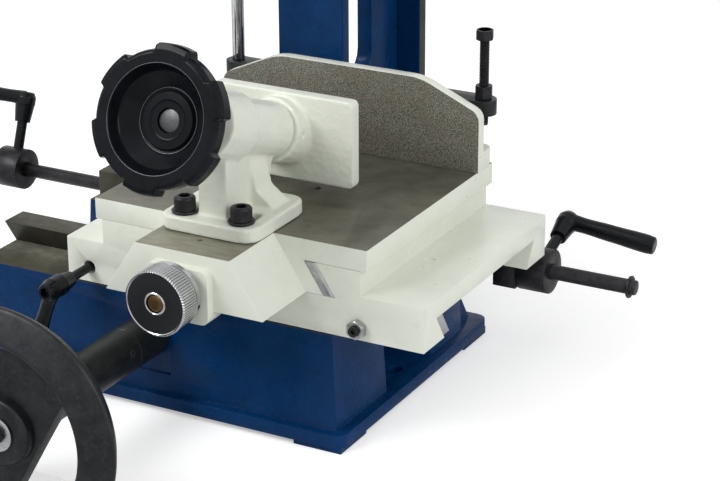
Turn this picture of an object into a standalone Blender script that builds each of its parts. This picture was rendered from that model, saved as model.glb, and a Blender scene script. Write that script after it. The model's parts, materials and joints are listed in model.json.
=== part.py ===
"""Benchtop mortiser: cast base and column, cross table with vise and fence, and a sliding drill head.

The frame stands on the bench with +Z up and the operator in front, towards -Y.
Its origin is on the bench, under the middle of the column and on the chisel's own X position.
Every piece is placed from the sizes below, so a changed size moves its neighbours with it.
"""

import math

import bmesh
import bpy
from mathutils import Matrix, Vector

# Clearances and cutting
GAP = 0.0003              # left between pieces that touch or slide on each other
OVERRUN = 0.003           # how far a cutter reaches past the face it opens
SINK = 0.002              # how far a joined shape runs into the one it grows from

# Column casting: two flanges and a web with a tall window
COLUMN_WIDTH = 0.0605
COLUMN_DEPTH = 0.151
COLUMN_TOP = 0.650
FRONT_FLANGE = 0.011
REAR_FLANGE = 0.012
COLUMN_WEB = 0.014
WINDOW_SILL = 0.174
WINDOW_TOP = 0.590
WINDOW_FRONT_LAND = 0.012
WINDOW_REAR_LAND = 0.045
WINDOW_CORNER = 0.016
COLUMN_FOOT_WIDTH = 0.124
COLUMN_FOOT_THICKNESS = 0.016
COLUMN_FOOT_BRIM = 0.006
FOOT_BOLT_INSET = 0.013

# Base casting: flange, front beam, rear beam and the dovetail rails on them
PAD_HEIGHT = 0.004
PAD_SIZE = 0.040
FLANGE_THICKNESS = 0.0105
FLANGE_LENGTH = 0.342
FLANGE_FRONT_REACH = 0.012
FLANGE_REAR_REACH = 0.034
FLANGE_CORNER = 0.010
EXTENSION_WIDTH = 0.140
EXTENSION_REAR = 0.010
LEDGE_HEIGHT = 0.089
BASE_LENGTH = 0.314
BASE_SIDE_FLARE = 0.006
BASE_FRONT_FLARE = 0.005
BASE_REAR_FLARE = 0.025
REAR_SLOPE_TOP = 0.052
BASE_WALL = 0.010
FRONT_BEAM = 0.075
BEAM_SPACE = 0.075
REAR_BEAM = 0.055
CROSS_WALL_SPREAD = 0.244
CROSS_WALL_TOP = 0.066
BENCH_HOLE_RADIUS = 0.0055
BENCH_HOLE_INSET = 0.021
PANEL_DEPTH = 0.003
PANEL_SIDE = 0.019
PANEL_MARGIN = 0.014

# Ways: both pairs of dovetails lean alike
WAY_ANGLE = math.radians(33.0)
WAY_START = 0.046
WAY_SPAN = 0.129
RAIL_THICKNESS = 0.011
X_GIB = 0.0127
Y_GIB = 0.009

# Saddle
SADDLE_LENGTH = 0.3043
SADDLE_DEPTH = 0.210
SADDLE_STOP_SPAN = 0.1463
STOP_SPACE = 0.040
LIP_CLEARANCE = 0.001
LIP_DEPTH = 0.020
SLAB_THICKNESS = 0.014
CHANNEL_DEPTH = 0.0053
RAIL_BLOCKS_LENGTH = 0.220
PLUG_RADIUS = 0.004
PLUG_DEPTH = 0.001
PLUG_FROM_RIGHT = 0.038
PLUG_FROM_FRONT = 0.0857

# Gib screw and nut in the saddle's front lip
GIB_SCREW_RADIUS = 0.004
GIB_SCREW_PROUD = 0.003
GIB_NUT_FLATS = 0.013
GIB_NUT_THICKNESS = 0.0055
GIB_SCREW_FROM_RIGHT = 0.0528
GIB_SCREW_ABOVE_LIP = 0.0092

# Rack and pinion under the saddle, and the shaft that the large handwheel turns
TOOTH_MODULE = 0.002
TOOTH_ANGLE = math.radians(20.0)
BACKLASH = 0.0006
RACK_ADDENDUM = 0.0013
PINION_ADDENDUM = 0.0016
TOOTH_DEDENDUM = 0.0021
X_PINION_TEETH = 12
RACK_WIDTH = 0.012
RACK_FROM_FRONT = 0.106
RACK_END = 0.013
X_SHAFT_HEIGHT = 0.059
X_SHAFT_RADIUS = 0.009
BUSH_RADIUS = 0.012
BUSH_PROUD = 0.060
SLEEVE_RADIUS = 0.0135
SLEEVE_LENGTH = 0.105
SET_SCREW_RADIUS = 0.0022
SET_SCREW_DEPTH = 0.002
SET_SCREW_FROM_END = 0.012

# Large handwheel
X_WHEEL_RADIUS = 0.100
X_WHEEL_RIM = 0.031
X_WHEEL_RIM_DEPTH = 0.024
X_WHEEL_RIM_CONE = 0.004
X_WHEEL_WEB = 0.010
X_WHEEL_RIM_SLOPE = 0.008
X_WHEEL_WINDOW_OFFSET = 0.034
X_WHEEL_WINDOW_CORNER = 0.004
X_WHEEL_WINDOW_TURN = math.radians(-30.0)
X_WHEEL_HUB = 0.024
X_WHEEL_HUB_LENGTH = 0.027
X_WHEEL_RIM_PROUD = 0.0024
X_WHEEL_WEB_SET_BACK = 0.008
X_WHEEL_WASHER = 0.013
WASHER_THICKNESS = 0.002

# Saddle lock lever
LOCK_FROM_LEFT = 0.0195
LOCK_HEIGHT = 0.102
LOCK_STUD_RADIUS = 0.005
LOCK_NECK = 0.038
LOCK_HUB_RADIUS = 0.0085
LOCK_HUB_LENGTH = 0.020
LOCK_ARM = 0.065
LOCK_ARM_RADIUS = 0.0048
LOCK_ARM_TURN = math.radians(21.0)
LOCK_NECK_SHARE = 1.3
LOCK_SWELL_SHARE = 1.35

# Shares that both kinds of clamping lever follow
HUB_END_SHARE = 0.8
ARM_WAIST_SHARE = 0.85
ARM_WAIST_PLACE_SHARE = 0.3
ARM_SWELL_PLACE_SHARE = 0.9

# Table: plate, dovetail body and the front extension that carries the vise
TABLE_OFFSET = -0.009
TABLE_WIDTH = 0.231
TABLE_DEPTH = 0.2085
PLATE_THICKNESS = 0.0165
DOVETAIL_HEIGHT = 0.0245
DOVETAIL_TOP_WIDTH = 0.128
APRON_TOP_WIDTH = 0.0785
APRON_REACH = 0.0615
LUG_WIDTH = 0.051
LUG_THICKNESS = 0.019
LUG_PROUD = 0.0075
LUG_DROP = 0.009
LUG_CORNER = 0.006
TABLE_FORWARD_TRAVEL = 0.060
TABLE_BACK_TRAVEL = 0.016
TABLE_HOLE_RADIUS = 0.003
TABLE_HOLE_FROM_FRONT = 0.095
TABLE_HOLE_OFFSET = 0.0225
HOLE_DEPTH = 0.006
OIL_HOLE_RADIUS = 0.0022
OIL_HOLE_FROM_APRON = 0.025

# Leadscrew, its nut and its knurled knob
Y_SCREW_RADIUS = 0.006
Y_SCREW_ABOVE_DOVETAIL = 0.0145
Y_NUT_FROM_FRONT = 0.075
Y_NUT_LENGTH = 0.030
Y_NUT_WIDTH = 0.024
Y_NUT_HALF_HEIGHT = 0.011
Y_CHANNEL_CLEARANCE = 0.003
KNOB_RADIUS = 0.0225
KNOB_LENGTH = 0.0235
KNOB_CHAMFER = 0.0015
KNOB_COLLAR_RADIUS = 0.017
KNOB_COLLAR_LENGTH = 0.0055
KNOB_DISH_RADIUS = 0.009
KNOB_DISH_DEPTH = 0.0015
KNURL_RIDGES = 40
KNURL_DEPTH = 0.0006
KNOB_SET_SCREW_RADIUS = 0.0015
Y_SCREW_SPARE = 0.010

# Fence
FENCE_FACE_FROM_FRONT = 0.179
FENCE_THICKNESS = 0.0095
FENCE_HEIGHT = 0.070
FENCE_LENGTH = 0.228
FENCE_END_HEIGHT = 0.048
FENCE_FLAT_LENGTH = 0.127
FENCE_FOOT_DEPTH = 0.018
FENCE_FOOT_HEIGHT = 0.015
FENCE_FOOT_CORNER = 0.008
FENCE_BOLT_SPREAD = 0.140
FENCE_OFFSET = 0.003
FENCE_END_ROUNDING = 0.010
FENCE_SHOULDER_ROUNDING = 0.045

# Vise
VISE_TILT = math.radians(19.5)
VISE_AXIS_HEIGHT = 0.0751
VISE_FOOT_FRONT = 0.031
VISE_FOOT_DEPTH = 0.081
VISE_FOOT_WIDTH = 0.080
VISE_FOOT_THICKNESS = 0.011
VISE_FOOT_CORNER = 0.012
VISE_BOLT_SPREAD = 0.0475
VISE_BOLT_FROM_FOOT = 0.013
VISE_SLOT_TRAVEL = 0.018
VISE_SLOT_SPARE = 0.002
NECK_WIDTH = 0.024
NECK_FOOT_FRONT = 0.012
NECK_FOOT_REAR = 0.069
NECK_TOP_FRONT = -0.018
NECK_TOP_REAR = 0.058
GUSSET_START = 0.046
GUSSET_REACH = 0.020
GUSSET_HEIGHT = 0.034
GUSSET_KNEE_REACH_SHARE = 0.25
GUSSET_KNEE_HEIGHT_SHARE = 0.33
BARREL_COLLAR_RADIUS = 0.026
BARREL_COLLAR_START = -0.030
BARREL_COLLAR_END = 0.0085
BARREL_RADIUS = 0.022
BARREL_END = 0.0668
JAW_FACE_FROM_FRONT = 0.082
JAW_THICKNESS = 0.011
JAW_WIDTH = 0.120
JAW_HEIGHT = 0.068
JAW_ABOVE_TABLE = 0.009
JAW_CORNER = 0.004
JAW_BOSS_RADIUS = 0.025
JAW_TRAVEL = 0.022
JAW_SCREW_HOLE = 0.0025
VISE_SCREW_RADIUS = 0.00835
VISE_WHEEL_RADIUS = 0.0525
VISE_WHEEL_RECESS = 0.0025
VISE_WHEEL_LOBES = 8
VISE_LOBE_SHARE = 0.56
LOBE_POINT_SHARES = (0.0, 0.25, 0.5, 0.75, 1.0)
RECESS_POINT_SHARES = (0.12, 0.5, 0.88)
VISE_WHEEL_RIM = 0.016
VISE_WHEEL_DISH_RADIUS = 0.0375
VISE_WHEEL_DISH_DEPTH = 0.0187
VISE_WHEEL_BOSS_RADIUS = 0.0215
VISE_WHEEL_WALL = 0.004
VISE_WHEEL_LIP = 0.006
VISE_WHEEL_LIP_DEPTH = 0.002
VISE_SCREW_SET_BACK = 0.001
VISE_SCREW_END = 0.085
VISE_WHEEL_FACE = -0.0944
VISE_HUB_CLEARANCE = 0.0025

# Stop rod behind the saddle, its blocks and its collars
ROD_RADIUS = 0.006
ROD_HEIGHT = 0.0705
ROD_LEFT_SPARE = 0.015
ROD_BOSS_RADIUS = 0.0125
ROD_BOSS_LENGTH = 0.060
ROD_BOSS_OFFSET = -0.008
CLIP_RADIUS = 0.009
CLIP_THICKNESS = 0.002
CLIP_FROM_END = 0.004
BLOCK_LENGTH = 0.0197
BLOCK_DEPTH = 0.0297
BLOCK_BOTTOM = 0.056
BLOCK_TOP = 0.104
BLOCK_BORE_CLEARANCE = 0.0004
RIGHT_BLOCK_FROM_END = 0.0246
LEFT_BLOCK_FROM_END = 0.002
COLLAR_RADIUS = 0.018
COLLAR_LENGTH = 0.025
RIGHT_COLLAR_TRAVEL = 0.065
LEFT_COLLAR_REST_SPACE = 0.049
STOP_STUD_RADIUS = 0.0045
STOP_HUB_RADIUS = 0.0085
STOP_HUB_LENGTH = 0.022
STOP_HUB_DISTANCE = 0.057
STOP_ARM = 0.076
STOP_ARM_RADIUS = 0.006
STOP_SWELL_SHARE = 1.25
STOP_STUD_IN = 0.009
RIGHT_ARM_TURN = math.radians(7.6)
LEFT_ARM_TURN = math.radians(210.0)
RIGHT_STUD_TURN = math.radians(70.9)
LEFT_STUD_TURN = math.radians(20.0)

# Depth stop arm, bolt and nut, with the gas spring's rod in the other end of the arm
ARM_BOTTOM = 0.1877
ARM_HEIGHT = 0.0123
ARM_DEPTH = 0.020
ARM_END_RADIUS = 0.0105
STOP_BOLT_X = 0.1625
STOP_BOLT_RADIUS = 0.004
STOP_BOLT_ABOVE_ARM = 0.0565
STOP_BOLT_HEAD = 0.0081
STOP_BOLT_LENGTH = 0.078
STOP_BOLT_FLATS = 0.013
STOP_NUT_THICKNESS = 0.0107
SPRING_X = -0.063
SPRING_ROD_RADIUS = 0.00525
SPRING_CYLINDER_RADIUS = 0.011
SPRING_ROD_IN_ARM = 0.008
SPRING_CLEARANCE = 0.008
SPRING_ROD_IN_CYLINDER = 0.014
SPRING_END_WALL = 0.008

# Head: slide block, chuck housing, nose, feed shaft housing and motor plate
HEAD_TRAVEL = 0.182
HEAD_BOTTOM = 0.423
HEAD_HEIGHT = 0.192
HEAD_WIDTH = 0.090
CHISEL_REACH = 0.150
HOUSING_FRONT_REACH = 0.045
HOUSING_WALL = 0.009
HOUSING_RISE = 0.047
NOSE_RADIUS = 0.029
KEEPER_THICKNESS = 0.010
WEB_CLEARANCE = 0.0015
MOTOR_PLATE_THICKNESS = 0.014
MOTOR_RADIUS = 0.072
MOTOR_HEIGHT = 0.170
MOTOR_FOOT_RADIUS = 0.078
MOTOR_FOOT_HEIGHT = 0.012
MOTOR_CAP_HEIGHT = 0.030
MOTOR_PLATE_BRIM = 0.004
MOTOR_CAP_RADIUS = 0.064
MOTOR_CAP_SHOULDER_SHARE = 0.33
MOTOR_CAP_TOP_SHARE = 0.5
FEED_PINION_TEETH = 20
FEED_RACK_PITCH_LINE = 0.012
FEED_RACK_WIDTH = 0.016
FEED_SHAFT_RISE = 0.132
FEED_SHAFT_RADIUS = 0.008
FEED_HOUSING_RADIUS = 0.016
FEED_HOUSING_RIGHT = 0.172
FEED_RACK_END = 0.022
EAR_RISE = 0.016
EAR_THICKNESS = 0.012
EAR_WEB = 0.012
SPRING_EAR_THICKNESS = 0.012
POCKET_CLEARANCE = 0.001
POCKET_WALL = 0.008
FEED_SHAFT_LEFT = 0.030
HOUSING_REAR_REACH = 0.036
NOSE_RIB = 0.012
NOSE_RIB_RISE = 0.009
HANDLE_HUB_RADIUS = 0.019
HANDLE_HUB_LENGTH = 0.030
HANDLE_ARMS = 3
HANDLE_REACH = 0.118
HANDLE_ROD_RADIUS = 0.005
HANDLE_BALL_RADIUS = 0.012
HANDLE_TURN = math.radians(20.0)
SWITCH_BOX_DEPTH = 0.070
SWITCH_BOX_HEIGHT = 0.090
SWITCH_BOX_THICKNESS = 0.034
SWITCH_BOX_FROM_TOP = 0.030
SWITCH_BOX_REAR = -0.142
SWITCH_BUTTON_RADIUS = 0.011
SWITCH_BUTTON_PROUD = 0.006
SWITCH_BUTTON_TRAVEL = 0.003
GLAND_RADIUS = 0.008
GLAND_LENGTH = 0.012
GLAND_BORE = 0.0045
SWITCH_POCKET_DEPTH = 0.006

# Chuck, chisel and auger
BUSHING_RADIUS = 0.0145
BUSHING_PROUD = 0.0025
CHISEL_SHANK_RADIUS = 0.0095
CHISEL_WIDTH = 0.0127
CHISEL_LENGTH = 0.070
CHISEL_NECK = 0.008
CHISEL_BORE = 0.0052
AUGER_RADIUS = 0.0046
AUGER_POINT = 0.006
CHUCK_RADIUS = 0.018
CHUCK_LENGTH = 0.055
CHUCK_NOSE_SHARE = 0.7
CHUCK_NOSE_LENGTH_SHARE = 0.25
CHUCK_ABOVE_FLOOR = 0.020
SPINDLE_RADIUS = 0.009
DOOR_THICKNESS = 0.004
DOOR_OVERLAP = 0.006
DOOR_PIN_RADIUS = 0.003
AUGER_PROUD = 0.0015
AUGER_IN_CHUCK = 0.025
SPINDLE_IN_MOTOR = 0.030
CHISEL_WINDOW_START = 0.022
CHISEL_WINDOW_LENGTH = 0.034
CHISEL_WINDOW_WIDTH = 0.005

# Fasteners
M10_HEAD_RADIUS = 0.008
M10_HEAD_HEIGHT = 0.010
M10_RADIUS = 0.005
M10_LENGTH = 0.024
M10_WASHER_RADIUS = 0.010
M8_HEAD_RADIUS = 0.0065
M8_HEAD_HEIGHT = 0.008
M8_RADIUS = 0.004
M8_LENGTH = 0.022
SOCKET_SHARE = 0.45
SOCKET_DEPTH_SHARE = 0.5

# Facets of round shapes
FINE_STEPS = 40
ROUND_STEPS = 24
SMALL_STEPS = 12
CORNER_STEPS = 4
HEX_SIDES = 6
SHARP_ANGLE = math.radians(35.0)

# Places that several pieces share
COLUMN_FRONT_Y = -COLUMN_DEPTH / 2
COLUMN_REAR_Y = COLUMN_DEPTH / 2
SADDLE_REAR_Y = COLUMN_FRONT_Y - STOP_SPACE
FRONT_Y = SADDLE_REAR_Y - SADDLE_DEPTH
LIP_BOTTOM_Z = LEDGE_HEIGHT + LIP_CLEARANCE
SLAB_BOTTOM_Z = LIP_BOTTOM_Z + LIP_DEPTH
SLAB_TOP_Z = SLAB_BOTTOM_Z + SLAB_THICKNESS
CHANNEL_Z = SLAB_TOP_Z - CHANNEL_DEPTH
DOVETAIL_BOTTOM_Z = CHANNEL_Z + GAP
PLATE_BOTTOM_Z = DOVETAIL_BOTTOM_Z + DOVETAIL_HEIGHT
TABLE_TOP_Z = PLATE_BOTTOM_Z + PLATE_THICKNESS
RAIL_TOP_Z = SLAB_BOTTOM_Z - GAP
FLANGE_TOP_Z = PAD_HEIGHT + FLANGE_THICKNESS
SADDLE_TRAVEL = SADDLE_LENGTH - SADDLE_STOP_SPAN
SADDLE_X = SADDLE_TRAVEL / 2
SADDLE_LEFT_X = SADDLE_X - SADDLE_LENGTH / 2
SADDLE_RIGHT_X = SADDLE_X + SADDLE_LENGTH / 2
TABLE_X = SADDLE_X + TABLE_OFFSET
WAY_LEAN = math.tan(WAY_ANGLE)
X_RAIL_LEAN = (RAIL_TOP_Z - LEDGE_HEIGHT) * WAY_LEAN
FRONT_FLANK_Y = FRONT_Y + WAY_START
REAR_FLANK_Y = FRONT_FLANK_Y + WAY_SPAN
FRONT_BEAM_REAR_Y = FRONT_Y + FRONT_BEAM
REAR_BEAM_FRONT_Y = FRONT_BEAM_REAR_Y + BEAM_SPACE
REAR_BEAM_REAR_Y = REAR_BEAM_FRONT_Y + REAR_BEAM
ROD_Y = SADDLE_REAR_Y + GAP + BLOCK_DEPTH / 2
ARM_REAR_Y = COLUMN_FRONT_Y - GAP
ARM_FRONT_Y = ARM_REAR_Y - ARM_DEPTH
ARM_TOP_Z = ARM_BOTTOM + ARM_HEIGHT
STOP_BOLT_TOP = ARM_TOP_Z + STOP_BOLT_ABOVE_ARM
CHISEL_Y = COLUMN_FRONT_Y - CHISEL_REACH
VISE_HUB_END = BARREL_COLLAR_START - JAW_TRAVEL - VISE_HUB_CLEARANCE
HEAD_TOP = HEAD_BOTTOM + HEAD_HEIGHT
HOUSING_BOTTOM = HEAD_BOTTOM + HOUSING_RISE
NOSE_RIB_BOTTOM = HEAD_BOTTOM + NOSE_RIB_RISE
EAR_BOTTOM = HEAD_BOTTOM + EAR_RISE
FEED_SHAFT_HEIGHT = HEAD_BOTTOM + FEED_SHAFT_RISE
SWITCH_BOX_TOP = HEAD_TOP - SWITCH_BOX_FROM_TOP
CHISEL_SHOULDER = HEAD_BOTTOM - CHISEL_NECK
CHISEL_TIP = CHISEL_SHOULDER - CHISEL_LENGTH
FEED_SHAFT_Y = COLUMN_FRONT_Y - FEED_RACK_PITCH_LINE - TOOTH_MODULE * FEED_PINION_TEETH / 2

# Which two coordinates an outline uses, and which one it runs along
PLANES = {"X": "YZX", "Y": "XZY", "Z": "XYZ"}


def clear_scene():
    for thing in list(bpy.data.objects):
        bpy.data.objects.remove(thing, do_unlink=True)


def look(name, colour, roughness, metallic=0.0):
    """One Principled material, made once and shared by the pieces that have it."""
    found = bpy.data.materials.get(name)
    if found:
        return found
    made = bpy.data.materials.new(name)
    made.use_nodes = True
    shader = made.node_tree.nodes["Principled BSDF"]
    shader.inputs["Base Color"].default_value = (*colour, 1.0)
    shader.inputs["Roughness"].default_value = roughness
    shader.inputs["Metallic"].default_value = metallic
    made.diffuse_color = (*colour, 1.0)
    return made


def blue_paint():
    return look("blue_hammer_paint", (0.010, 0.045, 0.150), 0.32)


def cream_paint():
    return look("cream_paint", (0.80, 0.78, 0.70), 0.40)


def black_oxide():
    return look("black_oxide", (0.020, 0.020, 0.022), 0.42, 0.6)


def bright_steel():
    return look("bright_steel", (0.55, 0.56, 0.58), 0.25, 1.0)


def black_plastic():
    return look("black_gloss", (0.012, 0.012, 0.014), 0.18)


def dark_satin():
    return look("dark_satin_metal", (0.070, 0.072, 0.075), 0.38, 0.5)


def red_plastic():
    return look("red_plastic", (0.45, 0.02, 0.015), 0.3)


def brass():
    return look("brass", (0.45, 0.30, 0.14), 0.35, 1.0)


def spot(plane, u, v, along):
    """World point of an outline point (u, v) that lies at one place along the outline's axis."""
    point = [0.0, 0.0, 0.0]
    for letter, value in zip(PLANES[plane], (u, v, along)):
        point["XYZ".index(letter)] = value
    return point


def closed(shape):
    bmesh.ops.recalc_face_normals(shape, faces=shape.faces)
    return shape


def prism(plane, outline, start, stop):
    """Solid with one outline all along X, Y or Z."""
    shape = bmesh.new()
    ends = [[shape.verts.new(spot(plane, u, v, along)) for u, v in outline] for along in (start, stop)]
    shape.faces.new(ends[0])
    shape.faces.new(reversed(ends[1]))
    for index in range(len(outline)):
        after = (index + 1) % len(outline)
        shape.faces.new((ends[0][index], ends[1][index], ends[1][after], ends[0][after]))
    return closed(shape)


def block(low, high):
    return tapered(low, high, low, high)


def tapered(low, high, top_low, top_high):
    """Block whose upper rectangle may differ from its lower one."""
    shape = bmesh.new()
    floor = rectangle(low[0], low[1], high[0], high[1])
    roof = rectangle(top_low[0], top_low[1], top_high[0], top_high[1])
    lower = [shape.verts.new((x, y, low[2])) for x, y in floor]
    upper = [shape.verts.new((x, y, high[2])) for x, y in roof]
    shape.faces.new(lower)
    shape.faces.new(upper)
    for index in range(len(lower)):
        after = (index + 1) % len(lower)
        shape.faces.new((lower[index], lower[after], upper[after], upper[index]))
    return closed(shape)


def rectangle(left, front, right, back):
    return [(left, front), (right, front), (right, back), (left, back)]


def around(radius, steps, centre=(0.0, 0.0), turn=0.0):
    """Points of a circle, the first one at the given turn."""
    angles = [turn + math.tau * index / steps for index in range(steps)]
    return [(centre[0] + radius * math.cos(a), centre[1] + radius * math.sin(a)) for a in angles]


def rounded(outline, radius, steps=CORNER_STEPS):
    """The outline with each corner drawn as an arc of one radius, or of its own from a list."""
    radii = radius if isinstance(radius, (list, tuple)) else [radius] * len(outline)
    points = []
    for index, corner in enumerate(outline):
        here = Vector(corner)
        before = (Vector(outline[index - 1]) - here).normalized()
        after = (Vector(outline[(index + 1) % len(outline)]) - here).normalized()
        if not radii[index]:
            points.append(tuple(here))
            continue
        half = before.angle(after) / 2
        centre = here + (before + after).normalized() * (radii[index] / math.sin(half))
        start = here + before * (radii[index] / math.tan(half)) - centre
        stop = here + after * (radii[index] / math.tan(half)) - centre
        sweep = start.angle_signed(stop)
        for step in range(steps + 1):
            angle = -sweep * step / steps
            turned_arm = Matrix.Rotation(angle, 2) @ start
            points.append(tuple(centre + turned_arm))
    return points


def turned(plane, profile, centre=(0.0, 0.0), steps=ROUND_STEPS, hollow=False, turn=0.0):
    """Turned solid from (along, radius) points; a hollow one closes its profile on itself."""
    shape = bmesh.new()
    rings = []
    for along, radius in profile:
        if radius:
            points = around(radius, steps, centre, turn)
        else:
            points = [centre]
        rings.append([shape.verts.new(spot(plane, u, v, along)) for u, v in points])
    pairs = list(zip(rings, rings[1:]))
    if hollow:
        pairs.append((rings[-1], rings[0]))
    elif profile[0][1]:
        shape.faces.new(rings[0])
    if not hollow and profile[-1][1]:
        shape.faces.new(rings[-1])
    for first, second in pairs:
        for index in range(steps):
            after = (index + 1) % steps
            corners = [first[index % len(first)], first[after % len(first)],
                       second[after % len(second)], second[index % len(second)]]
            shape.faces.new(list(dict.fromkeys(corners)))
    return closed(shape)


def rod(plane, radius, start, stop, centre=(0.0, 0.0), steps=ROUND_STEPS):
    return turned(plane, [(start, radius), (stop, radius)], centre, steps)


def tube(plane, radius, bore, start, stop, centre=(0.0, 0.0), steps=ROUND_STEPS):
    profile = [(start, bore), (start, radius), (stop, radius), (stop, bore)]
    return turned(plane, profile, centre, steps, hollow=True)


def hexagon(flats, centre):
    """Outline of a nut or bolt head from its width across the flats."""
    corner = flats / 2 / math.cos(math.pi / HEX_SIDES)
    return around(corner, HEX_SIDES, centre)


def placed(shape, matrix):
    bmesh.ops.transform(shape, matrix=matrix, verts=shape.verts)
    return closed(shape)


def linked(name, shape, origin):
    """Object with its origin at one world place; the shape comes in world coordinates."""
    bmesh.ops.translate(shape, vec=[-value for value in origin], verts=shape.verts)
    mesh = bpy.data.meshes.new(name)
    shape.to_mesh(mesh)
    shape.free()
    mesh.shade_smooth()
    mesh.set_sharp_from_angle(angle=SHARP_ANGLE)
    made = bpy.data.objects.new(name, mesh)
    made.location = origin
    bpy.context.collection.objects.link(made)
    return made


def carried(thing, carrier):
    """Parent an object to an empty without moving it in the world."""
    if carrier is not None:
        thing.parent = carrier
        thing.location = Vector(thing.location) - Vector(carrier["place"])
    return thing


def carrier_empty(name, place, above=None):
    """Empty that stands for a moving body, at a point on its joint's axis."""
    empty = bpy.data.objects.new(name, None)
    empty.location = place
    empty["place"] = list(place)
    bpy.context.collection.objects.link(empty)
    return carried(empty, above)


def piece(name, material, base, joins=(), cuts=(), origin=(0.0, 0.0, 0.0), carrier=None):
    """One node: a base shape, the shapes that grow from it and the cutters that open it."""
    made = linked(name, base, origin)
    made.data.materials.append(material)
    for operation, shapes in (("UNION", joins), ("DIFFERENCE", cuts)):
        for index, shape in enumerate(shapes):
            guide = linked(f"{name}_{operation.lower()}_{index}", shape, (0.0, 0.0, 0.0))
            guide.hide_render = True
            guide.display_type = "WIRE"
            step = made.modifiers.new(guide.name, "BOOLEAN")
            step.operation = operation
            step.solver = "EXACT"
            step.object = guide
    return carried(made, carrier)


def cap_screw(name, plane, centre, seat, sizes, carrier=None, away=1):
    """Socket-head screw; its head stands on the seat, on the side that away names."""
    head, height, shank, length = sizes
    profile = [(seat - away * length, shank), (seat, shank), (seat, head), (seat + away * height, head)]
    top = seat + away * height
    corner = head * SOCKET_SHARE / math.cos(math.pi / HEX_SIDES)
    socket = [(top - away * height * SOCKET_DEPTH_SHARE, corner), (top + away * OVERRUN, corner)]
    return piece(name, black_oxide(), turned(plane, profile, centre, SMALL_STEPS),
                 cuts=[turned(plane, socket, centre, HEX_SIDES)],
                 origin=spot(plane, *centre, seat), carrier=carrier)


M10_SCREW = (M10_HEAD_RADIUS, M10_HEAD_HEIGHT, M10_RADIUS, M10_LENGTH)
M8_SCREW = (M8_HEAD_RADIUS, M8_HEAD_HEIGHT, M8_RADIUS, M8_LENGTH)


def dovetail_rail(foot_outer, lean_towards):
    """YZ outline of one base rail: an undercut outer flank and an upright inner side."""
    inner = foot_outer - lean_towards * RAIL_THICKNESS
    return [(inner, LEDGE_HEIGHT - SINK), (foot_outer, LEDGE_HEIGHT - SINK), (foot_outer, LEDGE_HEIGHT),
            (foot_outer + lean_towards * X_RAIL_LEAN, RAIL_TOP_Z), (inner, RAIL_TOP_Z)]


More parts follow.
